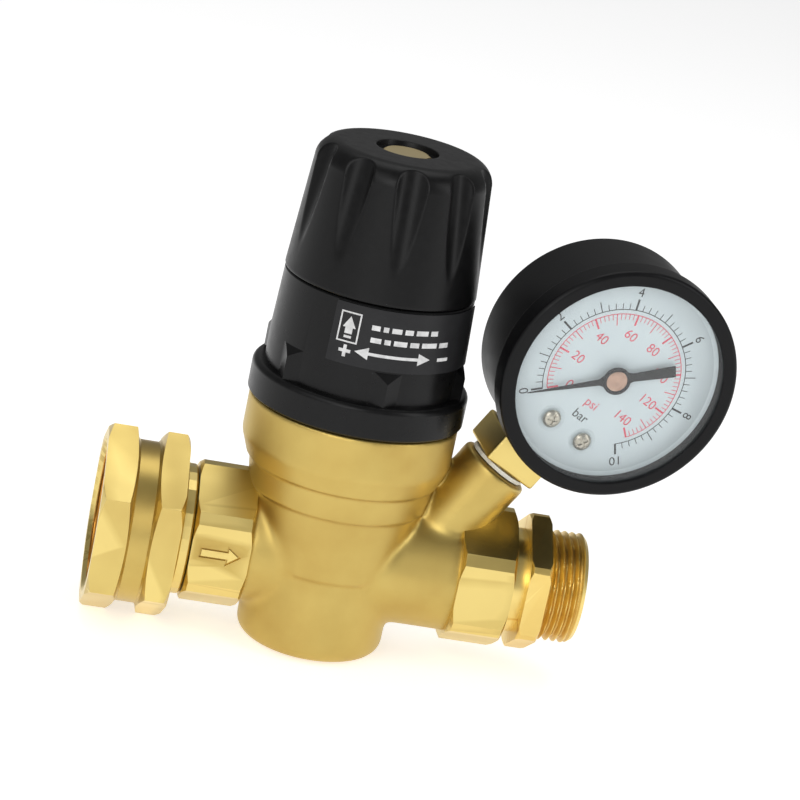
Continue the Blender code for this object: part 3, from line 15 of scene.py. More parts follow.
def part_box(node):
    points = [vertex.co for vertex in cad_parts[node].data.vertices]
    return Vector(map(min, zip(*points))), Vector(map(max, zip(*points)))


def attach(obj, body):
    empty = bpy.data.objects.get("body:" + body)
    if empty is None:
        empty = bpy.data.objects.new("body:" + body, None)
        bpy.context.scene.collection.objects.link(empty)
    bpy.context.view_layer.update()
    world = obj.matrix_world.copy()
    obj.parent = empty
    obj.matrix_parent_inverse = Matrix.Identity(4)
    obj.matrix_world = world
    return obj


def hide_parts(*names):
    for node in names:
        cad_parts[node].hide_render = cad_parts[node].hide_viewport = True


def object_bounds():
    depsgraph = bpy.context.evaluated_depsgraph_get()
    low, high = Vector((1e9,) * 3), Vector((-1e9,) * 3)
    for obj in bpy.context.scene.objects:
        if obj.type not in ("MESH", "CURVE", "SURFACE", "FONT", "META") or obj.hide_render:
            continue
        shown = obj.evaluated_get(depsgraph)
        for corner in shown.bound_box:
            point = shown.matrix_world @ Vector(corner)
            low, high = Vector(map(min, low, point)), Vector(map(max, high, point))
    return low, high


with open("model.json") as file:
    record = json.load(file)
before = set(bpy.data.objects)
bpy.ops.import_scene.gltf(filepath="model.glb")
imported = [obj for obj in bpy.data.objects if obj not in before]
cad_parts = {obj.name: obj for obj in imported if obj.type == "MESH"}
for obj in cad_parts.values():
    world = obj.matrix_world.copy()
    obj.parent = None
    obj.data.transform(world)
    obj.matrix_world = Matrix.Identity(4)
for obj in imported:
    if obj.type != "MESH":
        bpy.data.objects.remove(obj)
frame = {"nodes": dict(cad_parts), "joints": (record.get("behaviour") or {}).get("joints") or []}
frame_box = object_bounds()
MM = 0.001
joints = {joint["name"]: joint for joint in frame["joints"]}

# %% [markdown]
# The regulator has three working directions: the flow line along X, the bowl's upright axis, and
# the gauge's own tilted axes. The joints of the frame already know them, so a matrix is made from
# the joints for each, and a piece that is modelled upright at the origin is then put in place.

# %% Working axes
bowl_x = joints["knob_turn"]["pos_m"][0]
flow = Matrix.Rotation(math.radians(90), 4, "Y")
bowl = Matrix.Translation((bowl_x, 0, 0))
dial_normal = -Vector(joints["pointer_turn"]["axis"]).normalized()
dial_up = -Vector(joints["tube_end_travel"]["axis"]).normalized()
dial_across = dial_up.cross(dial_normal)
POINTER_LEVEL = 20.0
gauge = Matrix((dial_across, dial_up, dial_normal)).transposed().to_4x4()
gauge.translation = Vector(joints["pointer_turn"]["pos_m"]) - dial_normal * POINTER_LEVEL * MM
STEM_DEPTH = 8.0
BOSS_FOOT_X = 74.2
boss_side = Vector((dial_up.z, 0, -dial_up.x))
boss = Matrix((boss_side, Vector((0, 1, 0)), dial_up)).transposed().to_4x4()
boss.translation = Vector((BOSS_FOOT_X * MM, 0, 0))
print("gauge centre, mm:", [round(x / MM, 1) for x in gauge.translation])

# %% [markdown]
# A long lens from a little above and to the left shows the dial, the label and the inside of the
# swivel nut together. The camera is rolled, so the regulator leans to the right.

# %% Camera
VIEW_AZIMUTH = math.radians(-9.0)
VIEW_ELEVATION = math.radians(17.5)
VIEW_ROLL = math.radians(12.0)
VIEW_DISTANCE = 0.70
back = Vector((math.sin(VIEW_AZIMUTH) * math.cos(VIEW_ELEVATION),
               -math.cos(VIEW_AZIMUTH) * math.cos(VIEW_ELEVATION), math.sin(VIEW_ELEVATION)))
level = Vector((math.cos(VIEW_AZIMUTH), math.sin(VIEW_AZIMUTH), 0))
upright = back.cross(level)
across = level * math.cos(VIEW_ROLL) + upright * math.sin(VIEW_ROLL)
above = upright * math.cos(VIEW_ROLL) - level * math.sin(VIEW_ROLL)
target = Vector((64.6, 0, 39.3)) * MM
camera = bpy.data.objects.new("camera", bpy.data.cameras.new("camera"))
camera.data.sensor_width = 36
camera.data.lens = 136.5
camera.data.clip_start = 0.01
camera.matrix_world = Matrix((across, above, back)).transposed().to_4x4()
camera.location = target + back * VIEW_DISTANCE
bpy.context.scene.collection.objects.link(camera)
bpy.context.scene.camera = camera
bpy.context.scene.view_settings.view_transform = "Standard"
print("camera at", [round(x, 3) for x in camera.location])

# %% [markdown]
# Every piece is made with the same few moves. A turned part is an outline that is spun round an
# axis, as on a lathe. A Boolean joins or cuts two solids, a Bevel rounds the edges that a tool
# would have broken, and applying the place leaves the object at the origin. The helpers leave
# nothing selected by accident, because an operator acts on all that is selected.

# %% Bench tools
def pick(piece):
    """Select one piece and make it active, in object mode."""
    if bpy.context.mode != "OBJECT":
        bpy.ops.object.mode_set(mode="OBJECT")
    bpy.ops.object.select_all(action="DESELECT")
    if piece:
        piece.select_set(True)
        bpy.context.view_layer.objects.active = piece


def apply_modifier(piece, kind, **settings):
    """Add one modifier with its settings and apply it."""
    pick(piece)
    modifier = piece.modifiers.new(kind.title(), kind)
    for name, value in settings.items():
        setattr(modifier, name, value)
    bpy.ops.object.modifier_apply(modifier=modifier.name)
    return piece


def break_edges(piece, width, segments=2, angle=32):
    """Round the sharp edges."""
    return apply_modifier(piece, "BEVEL", width=width * MM, segments=segments, limit_method="ANGLE",
                          angle_limit=math.radians(angle), miter_outer="MITER_ARC")


def combine(piece, operation, *others):
    """Join or cut with other solids, which are then thrown away."""
    for other in others:
        apply_modifier(piece, "BOOLEAN", operation=operation, solver="EXACT", object=other)
        bpy.data.objects.remove(other)
    return piece


def put(piece, place):
    """Move a piece from the bench to its place and leave that in its mesh."""
    piece.matrix_world = place @ piece.matrix_world
    pick(piece)
    bpy.ops.object.transform_apply(location=True, rotation=True, scale=True)
    return piece


def smooth(piece, angle=35):
    """Smooth across edges that are blunter than the angle, and let large flat faces lead."""
    pick(piece)
    bpy.ops.object.shade_smooth_by_angle(angle=math.radians(angle))
    return apply_modifier(piece, "WEIGHTED_NORMAL", keep_sharp=True)


def turned(name, outline, steps=96, place=None):
    """Spin a closed outline of (radius, height) points in millimetres about Z."""
    pick(None)
    bpy.ops.mesh.primitive_circle_add(vertices=len(outline), radius=MM, fill_type="NOTHING")
    piece = bpy.context.object
    piece.name = name
    for point, (radius, height) in zip(piece.data.vertices, outline):
        point.co = (radius * MM, 0, height * MM)
    bpy.ops.object.mode_set(mode="EDIT")
    bpy.ops.mesh.select_all(action="SELECT")
    bpy.ops.mesh.spin(steps=steps, angle=math.tau, center=(0, 0, 0), axis=(0, 0, 1))
    bpy.ops.mesh.select_all(action="SELECT")
    bpy.ops.mesh.remove_doubles(threshold=1e-6)
    bpy.ops.mesh.delete_loose(use_verts=True, use_edges=True, use_faces=False)
    bpy.ops.mesh.select_all(action="SELECT")
    bpy.ops.mesh.normals_make_consistent(inside=False)
    bpy.ops.object.mode_set(mode="OBJECT")
    return put(piece, place) if place else piece


def hex_bar(across_flats, base, top, turn=0.0, corner=0.0):
    """A hexagonal bar along Z with a corner at the turn angle from X, its long edges cut back."""
    pick(None)
    bpy.ops.mesh.primitive_cylinder_add(vertices=6, radius=across_flats / 2 / math.cos(math.radians(30)) * MM,
                                        depth=(top - base) * MM, location=(0, 0, (top + base) / 2 * MM),
                                        rotation=(0, 0, math.radians(turn + 30)))
    bar = put(bpy.context.object, Matrix.Identity(4))
    if corner:
        bpy.ops.object.mode_set(mode="EDIT")
        bpy.ops.mesh.select_mode(type="EDGE")
        bpy.ops.mesh.select_all(action="DESELECT")
        bpy.ops.object.mode_set(mode="OBJECT")
        for edge in bar.data.edges:
            ends = [bar.data.vertices[i].co for i in edge.vertices]
            edge.select = abs(ends[0].z - ends[1].z) > 0.5 * (top - base) * MM
        bpy.ops.object.mode_set(mode="EDIT")
        bpy.ops.mesh.bevel(offset=corner / math.sqrt(3) * MM, segments=1)
        bpy.ops.object.mode_set(mode="OBJECT")
    return bar


def rounded(radius_centre, height_centre, radius, start, end, steps=6):
    """Points of an arc in an outline, with angles in degrees from the outward direction."""
    angles = [math.radians(start + (end - start) * i / steps) for i in range(steps + 1)]
    return [(radius_centre + radius * math.cos(a), height_centre + radius * math.sin(a)) for a in angles]


def threaded(piece, radius, pitch, depth, start, end):
    """Press a helical V groove into the wall at that radius of an upright turned piece."""
    for vertex in piece.data.vertices:
        x, y, z = (c / MM for c in vertex.co)
        reach = math.hypot(x, y)
        if abs(reach - radius) < 0.02 and start - 0.01 < z < end + 0.01:
            turn = (z / pitch - math.atan2(y, x) / math.tau) % 1.0
            groove = depth * min(1.0, abs(2 * turn - 1) * 1.25)
            fade = min(1.0, (z - start) / pitch, (end - z) / pitch)
            share = (radius - groove * max(0.0, fade)) / reach
            vertex.co.x *= share
            vertex.co.y *= share
    return piece


print("bench ready")

# %% [markdown]
# A finish is a shader whose colour, roughness and bump change over the piece. The sums between
# its nodes are easier to read as sums, so a small class wraps a socket and adds a Math node for
# each operator. Every other node comes from one method.

# %% Finish and value
class Value:
    """A socket of a finish, which can be used in sums."""

    def __init__(self, finish, socket):
        self.finish, self.socket = finish, socket

    def maths(self, operation, first, second):
        return self.finish.node("ShaderNodeMath", {"operation": operation}, {0: first, 1: second})

    def __add__(self, other):
        return self.maths("ADD", self, other)

    def __radd__(self, other):
        return self.maths("ADD", other, self)

    def __sub__(self, other):
        return self.maths("SUBTRACT", self, other)

    def __rsub__(self, other):
        return self.maths("SUBTRACT", other, self)

    def __mul__(self, other):
        return self.maths("MULTIPLY", self, other)

    def __rmul__(self, other):
        return self.maths("MULTIPLY", other, self)


class Finish:
    """A material under the brush. Plain numbers go straight on the shader's own sockets."""

    def __init__(self, name, **sockets):
        self.material = bpy.data.materials.new(name)
        self.material.use_nodes = True
        self.tree = self.material.node_tree
        self.shader = self.tree.nodes["Principled BSDF"]
        for socket, value in sockets.items():
            self.shader.inputs[socket.replace("_", " ")].default_value = value

    def node(self, kind, settings, sockets, output=0):
        node = self.tree.nodes.new(kind)
        for name, value in settings.items():
            setattr(node, name, value)
        for name, value in sockets.items():
            self.join(node.inputs[name], value)
        return Value(self, node.outputs[output])

    def join(self, socket, value):
        if isinstance(value, Value):
            self.tree.links.new(value.socket, socket)
        else:
            socket.default_value = value

    def paint(self, socket, value):
        self.join(self.shader.inputs[socket], value)

    def place(self):
        return self.node("ShaderNodeTexCoord", {}, {}, "Object")

    def noise(self, scale, detail=3.0, roughness=0.5, vector=None):
        return self.node("ShaderNodeTexNoise", {}, {"Vector": vector or self.place(), "Scale": scale,
                                                    "Detail": detail, "Roughness": roughness})

    def remap(self, value, low, high, to_low=0.0, to_high=1.0):
        limits = {"From Min": low, "From Max": high, "To Min": to_low, "To Max": to_high}
        return self.node("ShaderNodeMapRange", {"clamp": True}, {"Value": value, **limits})

    def mix(self, share, first, second):
        return self.node("ShaderNodeMix", {"data_type": "RGBA"}, {0: share, 6: first, 7: second}, 2)

    def bump(self, height, distance, strength=1.0):
        sockets = {"Strength": strength, "Distance": distance * MM, "Height": height}
        self.paint("Normal", self.node("ShaderNodeBump", {}, sockets))


def colour(red, green, blue):
    """A colour given as it looks on a screen, from 0 to 1."""
    def linear(c):
        return c / 12.92 if c <= 0.04045 else ((c + 0.055) / 1.055) ** 2.4
    return (linear(red), linear(green), linear(blue), 1.0)


print("finishes ready")

# %% [markdown]
# The body is a brass forging that was blasted and then turned where it matters. A blasted skin is
# even and satin, with a grain of a few tenths of a millimetre that softens each highlight. Turned
# faces are smoother and carry fine rings. The metal darkens a little in patches. The hollows, which
# the pointiness of the mesh finds, are painted darker as painted shade, and on the turned parts the
# sharp edges are painted brighter as a painted highlight.

# %% Brass
def make_brass(name, face, deep, bright, roughness, grain, grain_depth, edge_highlight_share):
    """Brass with its even face, a deeper tone in patches, painted shade in hollows and a painted highlight on
    sharp edges.
    """
    finish = Finish(name, Metallic=1.0)
    patches = finish.remap(finish.noise(55.0, 2.0), 0.35, 0.70)
    cloud = finish.remap(finish.noise(240.0, 4.0), 0.30, 0.75)
    edge = finish.node("ShaderNodeNewGeometry", {}, {}, "Pointiness")
    # Sharp edges are mixed towards the bright colour: a painted highlight.
    painted_edge_highlight = edge_highlight_share * finish.remap(edge, 0.505, 0.56)
    # Hollows are mixed towards the deep colour: painted shade.
    hollow = finish.remap(edge, 0.495, 0.46)
    skin = finish.mix(0.35 * patches + 0.15 * cloud, face, deep)
    skin = finish.mix(painted_edge_highlight, skin, bright)
    skin = finish.mix(0.45 * hollow, skin, deep)
    finish.paint("Base Color", skin)
    finish.paint("Roughness", roughness + 0.10 * patches - 0.05 * painted_edge_highlight)
    finish.bump(finish.noise(grain, 3.0, 0.6) + 0.4 * finish.noise(grain * 0.3, 2.0), grain_depth)
    return finish.material


GOLD = colour(0.79, 0.695, 0.405)
GOLD_DEEP = colour(0.69, 0.56, 0.29)
GOLD_HIGHLIGHT = colour(0.95, 0.86, 0.55)
forged_brass = make_brass("forged_brass", GOLD, GOLD_DEEP, GOLD_HIGHLIGHT,
                          roughness=0.40, grain=2600.0, grain_depth=0.010, edge_highlight_share=0.0)
machined_brass = make_brass("machined_brass", GOLD, GOLD_DEEP, GOLD_HIGHLIGHT,
                            roughness=0.31, grain=3400.0, grain_depth=0.005, edge_highlight_share=0.6)
thread_brass = make_brass("thread_brass", colour(0.92, 0.79, 0.45), colour(0.72, 0.55, 0.27), GOLD_HIGHLIGHT,
                          roughness=0.32, grain=3000.0, grain_depth=0.006, edge_highlight_share=0.7)
shaded_thread_brass = make_brass("shaded_thread_brass", colour(0.90, 0.64, 0.28), colour(0.62, 0.38, 0.13),
                          colour(0.96, 0.78, 0.42),
                          roughness=0.34, grain=3000.0, grain_depth=0.006, edge_highlight_share=0.7)
pale_brass = make_brass("pale_brass", colour(0.85, 0.76, 0.55), colour(0.66, 0.56, 0.36),
                        colour(0.96, 0.90, 0.70),
                        roughness=0.36, grain=3000.0, grain_depth=0.006, edge_highlight_share=0.6)
sheet_brass = make_brass("sheet_brass", colour(0.88, 0.76, 0.42), colour(0.70, 0.56, 0.28),
                         colour(0.97, 0.88, 0.55),
                         roughness=0.28, grain=5000.0, grain_depth=0.003, edge_highlight_share=0.6)
print("brass finishes:", 6)

# %% [markdown]
# The knob and bonnet are satin black nylon with a very fine moulded grain. The gauge's case is
# pressed steel under a smoother black enamel, and its ring has the same satin black. Each
# black keeps a trace of mottle, so a highlight breaks up as on the real surface.

# %% Blacks
def make_black(name, tone, lift, roughness, grain, grain_depth, coat=0.0, shine=0.22):
    finish = Finish(name, Coat_Roughness=0.18, Specular_IOR_Level=shine)
    mottle = finish.remap(finish.noise(grain * 0.12, 3.0), 0.3, 0.7)
    # Sharp edges are mixed towards the lighter colour: a painted highlight on the rims.
    edge = finish.remap(finish.node("ShaderNodeNewGeometry", {}, {}, "Pointiness"), 0.51, 0.60)
    finish.paint("Base Color", finish.mix(0.5 * mottle + 0.4 * edge, tone, lift))
    finish.paint("Roughness", roughness + 0.06 * mottle - 0.06 * edge)
    finish.shader.inputs["Coat Weight"].default_value = coat
    finish.bump(finish.noise(grain, 3.0, 0.55), grain_depth)
    return finish.material


moulded_black = make_black("moulded_black", colour(0.04, 0.04, 0.042), colour(0.07, 0.07, 0.072),
                           roughness=0.33, grain=4200.0, grain_depth=0.005, shine=0.2)
enamel_black = make_black("enamel_black", colour(0.035, 0.035, 0.038), colour(0.06, 0.06, 0.064),
                          roughness=0.36, grain=1500.0, grain_depth=0.006, coat=0.03, shine=0.2)
ring_black = make_black("ring_black", colour(0.045, 0.045, 0.05), colour(0.07, 0.07, 0.075),
                        roughness=0.34, grain=1300.0, grain_depth=0.003, shine=0.16)
pointer_black = make_black("pointer_black", colour(0.02, 0.02, 0.02), colour(0.05, 0.05, 0.05),
                           roughness=0.5, grain=3000.0, grain_depth=0.001, shine=0.12)
rubber_black = make_black("rubber_black", colour(0.14, 0.14, 0.14), colour(0.22, 0.22, 0.22),
                          roughness=0.70, grain=2500.0, grain_depth=0.02)
film_grey = make_black("film_grey", colour(0.13, 0.13, 0.135), colour(0.16, 0.16, 0.165),
                       roughness=0.46, grain=2800.0, grain_depth=0.004, shine=0.18)
print("black finishes:", 6)

# %% [markdown]
# The small parts have plainer finishes: warm plated screws, ground steel, copper for the Bourdon
# tube, natural nylon, print inks that are never quite even, and the dial's cool white enamel.

# %% Other finishes
def make_plain(name, first, second, roughness, spread, grain, grain_depth, metallic=0.0):
    """A finish that wanders between two colours, and from its roughness up by the spread."""
    finish = Finish(name, Metallic=metallic)
    mottle = finish.remap(finish.noise(grain * 0.15, 3.0), 0.3, 0.7)
    finish.paint("Base Color", finish.mix(mottle, first, second))
    finish.paint("Roughness", roughness + spread * mottle)
    finish.bump(finish.noise(grain, 2.0), grain_depth)
    return finish.material


bright_steel = make_plain("bright_steel", colour(0.76, 0.74, 0.68), colour(0.66, 0.64, 0.58),
                          roughness=0.30, spread=0.10, grain=2500.0, grain_depth=0.001, metallic=1.0)
ground_steel = make_plain("ground_steel", colour(0.74, 0.74, 0.76), colour(0.62, 0.62, 0.65),
                          roughness=0.30, spread=0.15, grain=5000.0, grain_depth=0.006, metallic=1.0)
copper = make_plain("copper", colour(0.83, 0.52, 0.36), colour(0.66, 0.38, 0.25),
                    roughness=0.28, spread=0.15, grain=3000.0, grain_depth=0.004, metallic=1.0)
hub_copper = make_plain("hub_copper", colour(0.78, 0.66, 0.58), colour(0.66, 0.54, 0.47),
                        roughness=0.35, spread=0.10, grain=3000.0, grain_depth=0.004, metallic=1.0)
nylon = make_plain("nylon", colour(0.93, 0.92, 0.88), colour(0.86, 0.85, 0.80),
                   roughness=0.45, spread=0.10, grain=2500.0, grain_depth=0.008)
dial_white = make_plain("dial_white", colour(0.77, 0.82, 0.83), colour(0.75, 0.80, 0.815),
                        roughness=0.38, spread=0.06, grain=1500.0, grain_depth=0.001)
ink_black = make_plain("ink_black", colour(0.04, 0.05, 0.055), colour(0.09, 0.10, 0.10),
                       roughness=0.55, spread=0.10, grain=4000.0, grain_depth=0.001)
ink_red = make_plain("ink_red", colour(0.80, 0.22, 0.30), colour(0.86, 0.33, 0.41),
                     roughness=0.55, spread=0.10, grain=4000.0, grain_depth=0.001)
ink_white = make_plain("ink_white", colour(0.86, 0.86, 0.86), colour(0.74, 0.74, 0.74),
                       roughness=0.50, spread=0.10, grain=4000.0, grain_depth=0.001)
glass = Finish("lens_glass", Roughness=0.04, Alpha=0.05)
glass_mottle = glass.remap(glass.noise(40.0), 0.3, 0.7)
glass.paint("Base Color", glass.mix(glass_mottle, (0.95, 0.97, 0.98, 1), (0.90, 0.93, 0.95, 1)))
lens_glass = glass.material
print("other finishes:", 10)


# %% [markdown]
# A new piece gets one finish, rides on one body, and stands for the parts that it replaces. Parts
# that keep their own shape only get a finish.

# %% Giving a finish
def wear(piece, finish, body="housing", stands_for=()):
    """Give a new piece its finish, its body, and the parts that it stands for."""
    piece.data.materials.clear()
    piece.data.materials.append(finish)
    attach(piece, body)
    if stands_for:
        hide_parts(*stands_for)
    print(piece.name, len(piece.data.polygons), "faces")
    return piece


def coat(finish, *names):
    """Give parts that keep their own mesh a finish."""
    for name in names:
        part = frame["nodes"][name]
        part.data.materials.clear()
        part.data.materials.append(finish)


# %% [markdown]
# The body is one forging: a bowl under the bonnet, a barrel below it, an arm to each side and the
# sloping boss. On the real part these meet in soft fillets. Separate solids joined by a Boolean
# would meet in hard lines, so the union is remeshed in small even faces and the faces beside each
# junction are relaxed, which draws a fillet. The thin ridges round the bowl are left out of the
# first pass, so they stay sharp. The hexagons stay crisp too, so they are pieces of their own.
# Last, the water's chambers are cut out.

# %% Body forging
BOWL_TOP = 36.5
bowl_outline = ([(0, BOWL_TOP), (24.1, BOWL_TOP), (24.5, 36.1), (24.5, 27.2)]
                + rounded(20.5, 27.2, 4.0, 0, -28, 5)
                + [(23.0, 22.6), (22.7, 21.7), (21.8, 21.2), (20.95, 15.0), (20.15, 14.4)]
                + [(18.0, -1.2), (17.3, -1.9)]
                + rounded(14.3, -19.0, 3.0, 0, -90) + [(0, -22)])
forging = turned("body_forging", bowl_outline, 128, bowl)
arms = turned("arms", [(0, 85.5), (14.4, 85.5), (14.4, 35.0), (0, 35.0)], 96, flow)
boss_bar = turned("boss_bar", [(0, 31.6), (8.15, 31.6), (8.65, 31.1), (8.65, 3.0), (0, 3.0)], 64, boss)
combine(forging, "UNION", arms, boss_bar)
apply_modifier(forging, "REMESH", mode="VOXEL", voxel_size=0.42 * MM)
print("forging has", len(forging.data.polygons), "even faces")


# %% Fillets
def relax(piece, wanted, repeat, factor=0.5):
    """Relax the points of a piece that wanted says yes to, given their place in millimetres."""
    pick(piece)
    bpy.ops.object.mode_set(mode="EDIT")
    bpy.ops.mesh.select_mode(type="VERT")
    bpy.ops.mesh.select_all(action="DESELECT")
    bpy.ops.object.mode_set(mode="OBJECT")
    for vertex in piece.data.vertices:
        vertex.select = wanted(vertex.co / MM)
    bpy.ops.object.mode_set(mode="EDIT")
    bpy.ops.mesh.vertices_smooth(factor=factor, repeat=repeat)
    bpy.ops.object.mode_set(mode="OBJECT")


def beside_arm(point):
    reach = math.hypot(point.y, point.z)
    out = abs(point.x - bowl_x / MM)
    return abs(reach - 14.4) < 2.2 and 8 < out < 28


def beside_boss(point):
    offset = point - Vector((BOSS_FOOT_X, 0, 0))
    along = offset.dot(dial_up)
    reach = (offset - dial_up * along).length
    return abs(reach - 8.65) < 2.0 and 4 < along < 29


def away_from_ridges(point):
    return all(abs(point.z - height) > 1.1 for height in RIDGES)


RIDGES = (-1.7, 14.4, 21.3)
relax(forging, away_from_ridges, 5)
relax(forging, beside_arm, 26)
relax(forging, beside_boss, 26)
relax(forging, lambda point: True, 1)

# %% Water ways
chamber = turned("chamber", [(0, 37.5), (20.4, 37.5), (20.4, 26), (16, 26), (16, 8), (11.7, 8), (11.7, 3.4),
                             (11, 3.4), (11, -10), (6.2, -10), (6.2, -18), (0, -18)], 64, bowl)
outlet_way = turned("outlet_way", [(0, 90), (8.5, 90), (8.5, 71), (0, 71)], 48, flow)
gauge_way = turned("gauge_way", [(0, 33), (5.3, 33), (5.3, 22.6), (2.2, 22.6), (2.2, 10), (0, 10)], 32, boss)
combine(forging, "DIFFERENCE", chamber, outlet_way, gauge_way)
smooth(forging, 40)
wear(forging, forged_brass, "housing", ["body"])

# %% [markdown]
# Each arm ends in a hexagon whose corners are cut to narrow flats, so a wrench doesn't bruise
# them. A hexagonal bar is crossed with a turned blank, which gives the curved chamfers at both
# ends as turning does on the real bar. The front flat at the inlet has an arrow pressed into it,
# in outline, which shows which way the water runs.

# %% Body hexagons
BODY_ACROSS_FLATS = 31.0
BODY_CORNER_FLAT = 3.0
BODY_CORNER = 17.35
BODY_CHAMFER = (1.5, 0.9)


def body_hexagon(name, start, end):
    """A hexagon of the body, from one place on the flow line to another."""
    bar = hex_bar(BODY_ACROSS_FLATS, start, end, 0.0, BODY_CORNER_FLAT)
    inward, along = BODY_CHAMFER
    blank = turned("blank", [(0, end), (BODY_CORNER - inward, end), (BODY_CORNER, end - along),
                             (BODY_CORNER, start + along), (BODY_CORNER - inward, start), (0, start)], 128)
    combine(bar, "INTERSECT", blank)
    bar.name = name
    break_edges(bar, 0.28, 2, 20)
    return put(bar, flow)


def flat_arrow(length, height, head, shaft, line):
    """An arrow's outline as a raised line, drawn on the bench in X and Y."""
    half, tail = length / 2, shaft / 2
    corners = [(-half, -tail), (half - head, -tail), (half - head, -height / 2), (half, 0),
               (half - head, height / 2), (half - head, tail), (-half, tail)]
    pick(None)
    bpy.ops.mesh.primitive_circle_add(vertices=len(corners), radius=MM, fill_type="NGON")
    arrow = bpy.context.object
    for point, (x, y) in zip(arrow.data.vertices, corners):
        point.co = (x * MM, y * MM, 0)
    bpy.ops.object.mode_set(mode="EDIT")
    bpy.ops.mesh.select_all(action="SELECT")
    bpy.ops.mesh.inset(thickness=line * MM, depth=0)
    bpy.ops.mesh.delete(type="FACE")
    bpy.ops.mesh.select_all(action="SELECT")
    bpy.ops.mesh.extrude_region_move(TRANSFORM_OT_translate={"value": (0, 0, 1.0 * MM)})
    bpy.ops.mesh.select_all(action="SELECT")
    bpy.ops.mesh.normals_make_consistent(inside=False)
    bpy.ops.object.mode_set(mode="OBJECT")
    return arrow


INLET_LOW, INLET_HIGH = 22.2, 35.8
PRESS_DEPTH = 0.5
BODY_WAY = 10.8
inlet_hexagon = body_hexagon("inlet_hexagon", INLET_LOW, INLET_HIGH)
arrow = flat_arrow(length=9.6, height=5.0, head=3.4, shaft=2.4, line=0.42)
on_flat = Vector(((INLET_LOW + INLET_HIGH) / 2, PRESS_DEPTH - BODY_ACROSS_FLATS / 2, 0.6)) * MM
put(arrow, Matrix.Translation(on_flat) @ Matrix.Rotation(math.radians(90), 4, "X"))
way = turned("way", [(0, 37), (BODY_WAY, 37), (BODY_WAY, 21), (0, 21)], 64, flow)
combine(inlet_hexagon, "DIFFERENCE", arrow, way)
wear(smooth(inlet_hexagon, 25), machined_brass, "housing")
outlet_hexagon = body_hexagon("outlet_hexagon", 84.5, 97.5)
way = turned("way", [(0, 99), (BODY_WAY, 99), (BODY_WAY, 83), (0, 83)], 64, flow)
combine(outlet_hexagon, "DIFFERENCE", way)
wear(smooth(outlet_hexagon, 25), machined_brass, "housing")

# %% [markdown]
# The swivel nut is a hexagon with a wide turned groove, a chamfer at each end, and a coarse thread
# inside. It spins freely on the tailpiece, so it rides on its own body. Its thread is cut as a tap
# would cut it: a core whose wall carries a helix is taken away from the nut. The cut thread is
# painted a darker, more orange brass than the outside, as painted shade inside the nut's mouth, so
# its faces get the second finish of the piece.

# %% Swivel nut
NUT_LENGTH = 19.0
NUT_ACROSS_FLATS = 39.5
NUT_CORNER = 22.8
NUT_FACE = 20.9
GROOVE_RADIUS = 18.9
nut = hex_bar(NUT_ACROSS_FLATS, -1, NUT_LENGTH + 1)
back_hexagon = [(0, NUT_LENGTH), (NUT_FACE, NUT_LENGTH), (NUT_CORNER, NUT_LENGTH - 1.0), (NUT_CORNER, 13.6)]
groove = [(19.5, 12.7), (GROOVE_RADIUS, 12.2), (GROOVE_RADIUS, 7.8), (19.5, 7.3)]
front_hexagon = [(NUT_CORNER, 6.4), (NUT_CORNER, 1.0), (NUT_FACE, 0), (0, 0)]
blank = turned("blank", back_hexagon + groove + front_hexagon, 160)
combine(nut, "INTERSECT", blank)
nut.name = "threaded_nut"
break_edges(nut, 0.35, 3, 24)
NUT_PITCH = 2.2
TAP_RADIUS = 17.15
TAP_DEPTH = 13.05
tap_row = NUT_PITCH / 10
wall = [(TAP_RADIUS, TAP_DEPTH - tap_row * i) for i in range(61)]
tap = turned("tap", [(0, TAP_DEPTH)] + wall + [(TAP_RADIUS, -1.5), (0, -1.5)], 128)
threaded(tap, TAP_RADIUS, NUT_PITCH, depth=0.95, start=0.6, end=13.0)
mouth = turned("mouth", [(0, 1.0), (17.1, 1.0), (18.3, -0.2), (0, -0.2)], 128)
throat = turned("throat", [(0, 20), (12.7, 20), (12.7, 12), (0, 12)], 96)
combine(nut, "DIFFERENCE", tap, mouth, throat)
put(nut, flow)
wear(smooth(nut, 18), machined_brass, "inlet_nut", ["swivel_nut"])
# The thread's faces get the darker, more orange brass: painted shade inside the nut's mouth.
nut.data.materials.append(shaded_thread_brass)
for face in nut.data.polygons:
    reach = math.hypot(face.center.y, face.center.z)
    if reach < (TAP_RADIUS + 0.1) * MM and face.center.x < (TAP_DEPTH + 0.15) * MM:
        face.material_index = 1

# %% [markdown]
# The thrust ring and the tailpiece keep their own shapes. The outlet adapter screws into the body:
# a dark neck, a thin hexagon and a pipe thread. The thread is a real helix here, pressed into the
# wall of the turned blank.

# %% Outlet adapter
OUTLET_END = 115.17
OUTLET_CHAMFER = 0.9
THREAD_RADIUS = 13.2
THREAD_START = 105.9
THREAD_ROWS = 70
OUTLET_PITCH = 1.814
NECK_RADIUS = 12.3
SPIGOT_RADIUS = 10.5
crest_top = OUTLET_END - OUTLET_CHAMFER
thread_row = (crest_top - THREAD_START) / THREAD_ROWS
wall = [(THREAD_RADIUS, crest_top - thread_row * i) for i in range(THREAD_ROWS + 1)]
adapter = turned("threaded_adapter", [(0, OUTLET_END), (NECK_RADIUS, OUTLET_END)] + wall
                 + [(12.0, 105.7), (NECK_RADIUS, 105.0), (NECK_RADIUS, 97.8), (SPIGOT_RADIUS, 97.8),
                    (SPIGOT_RADIUS, 88.0), (0, 88.0)], 128)
threaded(adapter, THREAD_RADIUS, OUTLET_PITCH, depth=1.12, start=THREAD_START - 0.5, end=OUTLET_END - 0.4)
FLANGE_LOW, FLANGE_HIGH = 100.8, 105.8
flange = hex_bar(30.0, FLANGE_LOW, FLANGE_HIGH)
